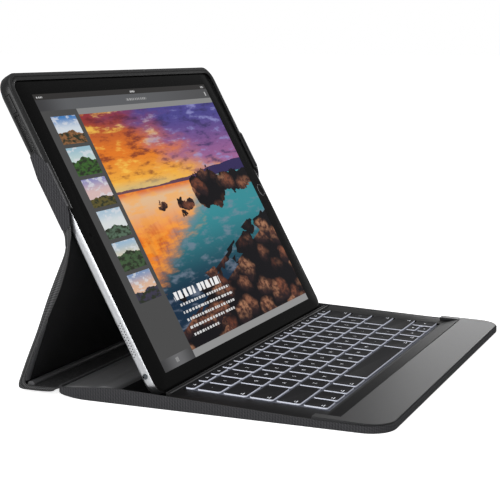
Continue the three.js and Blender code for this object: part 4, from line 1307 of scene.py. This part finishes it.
# perforated strips behind the speaker windows
def makeGrilles():
    foot, head = holder["windowFoot"] + 0.2, holder["windowHead"] - 0.2
    made = bmesh.new()
    for side in (-1, 1):
        one = bmesh.new()
        bmesh.ops.create_grid(one, x_segments=22, y_segments=3, size=0.5)
        holes = bmesh.ops.inset_individual(one, faces=one.faces[:], thickness=0.011, use_even_offset=True)
        rims = set(holes["faces"])
        bmesh.ops.delete(one, geom=[f for f in one.faces if f not in rims], context="FACES")
        spread = ((head - foot) * mm, 2 * (holder["windowHalf"] - 0.2) * mm, 1)
        bmesh.ops.scale(one, vec=spread, verts=one.verts)
        turn = Matrix(((0, 0, side, 0), (1, 0, 0, 0), (0, 1, 0, 0), (0, 0, 0, 1)))
        one.transform(turn)
        bmesh.ops.translate(one, vec=tabletPlace(side * (holder["half"] - 0.9), (foot + head) / 2,
                                                 holder["windowMiddle"]), verts=one.verts)
        bmesh.ops.solidify(one, geom=one.faces[:], thickness=0.35 * mm)
        mesh = bpy.data.meshes.new("grille")
        one.to_mesh(mesh)
        one.free()
        made.from_mesh(mesh)
        bpy.data.meshes.remove(mesh)
        before = len(made.faces)
        addBox(made, tabletPlace(side * (holder["half"] - 3.0) - 0.3, foot, holder["windowMiddle"] - 1.7),
               tabletPlace(side * (holder["half"] - 3.0) + 0.3, head, holder["windowMiddle"] + 1.7))
        made.faces.ensure_lookup_table()
        for f in made.faces[before:]:
            f.material_index = 1
    makePiece("speaker_grilles", made, "holder", [finishes["mesh"], finishes["meshBack"]],
              (), 30, tabletTurn)


def makeButtonCover(node, along):
    low, high = turnedBox(node, tabletTurn)
    made = bmesh.new()
    addBox(made, low, high)
    roundEdges(made, made.edges[:], 0.35 * mm, 3)
    face = low.x if along == "Y" else high.y
    middle = (low + high) / 2
    for k in (-1, 0, 1):
        centre = middle.copy()
        if along == "Y":
            centre.x, centre.y = face, middle.y + k * 2.2 * mm
            size = Vector((0.5, 0.9, 2.2)) * mm
        else:
            centre.y, centre.x = face, middle.x + k * 2.2 * mm
            size = Vector((0.9, 0.5, 2.2)) * mm
        verts = addBox(made, centre - size / 2, centre + size / 2)
        edges = list({e for v in verts for e in v.link_edges})
        roundEdges(made, edges, 0.15 * mm, 2)
    makePiece(node + "_pad", made, node, [finishes["rubber"]], (node,), 35, tabletTurn)


# woven cloth wrapped round the holder's lower sides, with a light strip along the glass: a painted highlight
# on the rubber lip's edge
def makeSideWraps():
    outline = [(118.4, -8.4), (120.4, -9.5), (156.0, -9.5), (170.6, -7.4), (171.2, -2.6), (166.1, -0.3),
               (162.0, 1.35), (131.0, 1.35), (125.8, 0.0), (121.9, -1.9), (119.2, -4.8)]
    for side, word in ((-1, "left"), (1, "right")):
        made = bmesh.new()
        x = side * (holder["half"] + 0.05)
        face = made.faces.new([made.verts.new(tabletPlace(x, up, out)) for up, out in outline])
        extruded(made, [face], (side * 0.55 * mm, 0, 0))
        bmesh.ops.recalc_face_normals(made, faces=made.faces)
        roundEdges(made, sharpEdges(made, 60), 0.22 * mm, 2)
        makePiece("side_weave_" + word, made, "holder", [finishes["woven"]], (), 40,
                  tabletTurn)
        # a light strip on the lip's edge: painted highlight
        lipHighlight = bmesh.new()
        ends = sorted((side * (holder["half"] + 0.35), side * (holder["half"] - 1.2)))
        addBox(lipHighlight, tabletPlace(ends[0], 131.5, 1.3), tabletPlace(ends[1], 162.0, 1.7))
        roundEdges(lipHighlight, lipHighlight.edges[:], 0.15 * mm, 2)
        makePiece("side_lip_highlight_" + word, lipHighlight, "holder", [finishes["hem"]], (), 40, tabletTurn)


# the woven back's upper edge, turned up over the rubber
def makeTopLip():
    made = bmesh.new()
    addBox(made, tabletPlace(-102, 223.5, -9.9), tabletPlace(103, 226.0, -5.6))
    cuts = 40
    for i in range(1, cuts):
        cutAcross(made, tabletPlace(-102 + 205 * i / cuts, 0, 0), (1, 0, 0))
    roundEdges(made, sharpEdges(made, 60), 0.6 * mm, 3)
    makePiece("top_weave", made, "holder", [finishes["woven"]], (), 50, tabletTurn)


def makeBackSkin():
    outline = [(156.0, 118.6), (156.0, 158.0), (152.6, 172.0), (152.6, 222.6)]
    outline += [(-x, up) for x, up in reversed(outline)]
    made = bmesh.new()
    made.faces.new([made.verts.new(tabletPlace(x, up, -9.9)) for x, up in outline])
    corners = [v for v in made.verts if v.co.y > tabletPlace(0, 200, 0).y]
    bmesh.ops.bevel(made, geom=corners, offset=11 * mm, offset_type="OFFSET", affect="VERTICES", segments=8,
                    profile=0.5, material=-1, clamp_overlap=True)
    extruded(made, made.faces[:], (0, 0, 0.95 * mm))
    bmesh.ops.recalc_face_normals(made, faces=made.faces)
    roundEdges(made, sharpEdges(made, 60), 0.3 * mm, 2)
    tool = bmesh.new()
    eye = turnedBox("rear_camera", tabletTurn)
    middle = (eye[0] + eye[1]) / 2
    addRod(tool, Vector((middle.x, middle.y, tabletPlace(0, 0, -9.5).z)), 7.0, 6, "Z", 40)
    made = carved(made, tool)
    makePiece("back_weave", made, "holder", [finishes["woven"]], ("holder_cover",), 35,
              tabletTurn)


makeHolderFrame()
makeGrilles()
makeButtonCover("power_button_cover", "Y")
makeButtonCover("volume_up_cover", "X")
makeButtonCover("volume_down_cover", "X")
makeSideWraps()
makeTopLip()
makeBackSkin()
print("holder is ready")


# the tablet

tablet = {"half": 152.85, "height": 220.6, "corner": 10.0, "back": -6.9, "round": 2.1, "rim": 0.35,
          "glassThickness": 0.8, "glassInset": 1.3, "displayRecess": 0.06,
          "jackUp": 14.5, "jackRadius": 1.9, "soundFoot": 29.0, "soundPitch": 2.0, "soundCount": 12}


def makeHousing():
    half, height = tablet["half"], tablet["height"]
    corner = tablet["corner"] * mm
    made = roundedPlate(tabletPlace(-half, 0, tablet["back"]), tabletPlace(half, height, 0), corner,
                        corner, 12)
    extruded(made, made.faces[:], (0, 0, (-tablet["back"] - tablet["glassThickness"] + 0.45) * mm))
    bmesh.ops.recalc_face_normals(made, faces=made.faces)
    middle = tabletPlace(0, 0, -3).z
    backEdges = [e for e in sharpEdges(made, 60) if e.verts[0].co.z < middle and e.verts[1].co.z < middle]
    frontEdges = [e for e in sharpEdges(made, 60) if e.verts[0].co.z > middle and e.verts[1].co.z > middle]
    roundEdges(made, backEdges, tablet["round"] * mm, 6)
    roundEdges(made, frontEdges, tablet["rim"] * mm, 2)
    tool = bmesh.new()
    addRod(tool, tabletPlace(-half, tablet["jackUp"], -3.7), tablet["jackRadius"], 7, "X")
    for i in range(tablet["soundCount"]):
        for row in (-1, 1):
            for side in (-1, 1):
                up = tablet["soundFoot"] + i * tablet["soundPitch"] + row * 0.5
                addRod(tool, tabletPlace(side * half, up, -4.0 + row * 0.8), 0.42, 2.4, "X", 8)
    addBox(tool, tabletPlace(half - 5, height / 2 - 4.5, -5.0), tabletPlace(half + 1, height / 2 + 4.5, -2.0))
    made = carved(made, tool)
    for f in made.faces:
        if abs(f.calc_center_median().x) < (half - 0.2) * mm and f.normal.z > 0.9:
            f.material_index = 1
    makePiece("tablet_shell", made, "holder", [finishes["silver"], finishes["glass"]],
              ("tablet_housing",), 40, tabletTurn)


def makeGlass():
    low, high = turnedBox("tablet_glass", tabletTurn)
    screenLow, screenHigh = turnedBox("display_panel", tabletTurn)
    low = Vector((low.x, low.y, high.z - 0.34 * mm))
    made = roundedPlate(low, high, (tablet["corner"] - tablet["glassInset"]) * mm,
                        (tablet["corner"] - tablet["glassInset"]) * mm, 10)
    for x in (screenLow.x, screenHigh.x):
        cutAcross(made, (x, 0, 0), (1, 0, 0))
    for y in (screenLow.y, screenHigh.y):
        cutAcross(made, (0, y, 0), (0, 1, 0))
    hole = [f for f in made.faces if screenLow.x < f.calc_center_median().x < screenHigh.x
            and screenLow.y < f.calc_center_median().y < screenHigh.y]
    bmesh.ops.delete(made, geom=hole, context="FACES")
    extruded(made, made.faces[:], (0, 0, high.z - low.z))
    bmesh.ops.recalc_face_normals(made, faces=made.faces)

    def byScreen(v):
        beside = screenLow.x - mm < v.co.x < screenHigh.x + mm
        return beside and screenLow.y - mm < v.co.y < screenHigh.y + mm

    upper = [e for e in sharpEdges(made, 60) if all(v.co.z > high.z - 0.01 * mm for v in e.verts)]
    outer = [e for e in upper if not all(byScreen(v) for v in e.verts)]
    roundEdges(made, outer, 0.15 * mm, 2)
    tool = bmesh.new()
    button = turnedBox("home_button", tabletTurn)
    middle = (button[0] + button[1]) / 2
    addRod(tool, Vector((middle.x, middle.y, high.z)), 5.7, 3, "Z", 48)
    eye = turnedBox("front_camera", tabletTurn)
    middle = (eye[0] + eye[1]) / 2
    addRod(tool, Vector((middle.x, middle.y, high.z)), 1.3, 3, "Z", 24)
    made = carved(made, tool)
    makePiece("bezel_glass", made, "holder", [finishes["glass"]], ("tablet_glass",), 30,
              tabletTurn)
    screen = bmesh.new()
    screen.loops.layers.uv.verify()
    bmesh.ops.create_grid(screen, x_segments=1, y_segments=1, size=0.5, calc_uvs=True)
    size = screenHigh - screenLow
    bmesh.ops.scale(screen, vec=(size.x, size.y, 1), verts=screen.verts)
    place = Vector(((screenLow.x + screenHigh.x) / 2, (screenLow.y + screenHigh.y) / 2,
                    high.z - tablet["displayRecess"] * mm))
    bmesh.ops.translate(screen, vec=place, verts=screen.verts)
    extruded(screen, screen.faces[:], (0, 0, -0.25 * mm))
    makePiece("lit_screen", screen, "holder", [finishes["display"]], ("display_panel",), 30,
              tabletTurn)


def makeHomeButton():
    low, high = turnedBox("home_button", tabletTurn)
    centre = Vector(((low.x + high.x) / 2, (low.y + high.y) / 2, high.z))
    made = bmesh.new()
    profile = [(0, -0.30), (2.4, -0.26), (4.3, -0.12), (4.75, -0.05), (4.8, 0.0), (5.35, 0.0), (5.5, -0.15),
               (5.5, -1.4), (0, -1.4)]
    verts = [made.verts.new(centre + Vector((r * mm, 0, z * mm))) for r, z in profile]
    edges = [made.edges.new(pair) for pair in zip(verts, verts[1:])]
    bmesh.ops.spin(made, geom=verts + edges, cent=centre, axis=(0, 0, 1), dvec=(0, 0, 0), angle=2 * math.pi,
                   steps=40, use_merge=True, use_duplicate=False)
    bmesh.ops.remove_doubles(made, verts=made.verts, dist=1e-6)
    bmesh.ops.recalc_face_normals(made, faces=made.faces)
    for f in made.faces:
        spot = f.calc_center_median() - centre
        f.material_index = int(math.hypot(spot.x, spot.y) > 4.7 * mm)
    makePiece("home_dish", made, "home_button", [finishes["glass"], finishes["barMetalAndRidgeHighlight"]],
              ("home_button",), 30, tabletTurn)


makeHousing()
makeGlass()
makeHomeButton()
print("tablet is ready")


# the CAD nodes that keep their shape

nodeFinishes = {
    "woven_cover": "woven", "lining": "suede", "stiff_board": "board", "moulded_black": "moulded",
    "anodised_grey": "anodised", "dock_metal": "barMetalAndRidgeHighlight", "soft_flap": "flap", "key_black": "key",
    "backlight": "backlight", "inner_plate": "plate", "circuit": "circuit", "magnet": "magnet",
    "contact_gold": "gold", "holder_rubber": "rubber", "silver_aluminium": "silver", "black_glass": "glass",
    "display": "display", "lens": "lens",
}


def dressNodes():
    for node in nodes.values():
        for slot in node.material_slots:
            name = slot.material.name.split(".")[0]
            if name in nodeFinishes:
                slot.material = finishes[nodeFinishes[name]]


dressNodes()
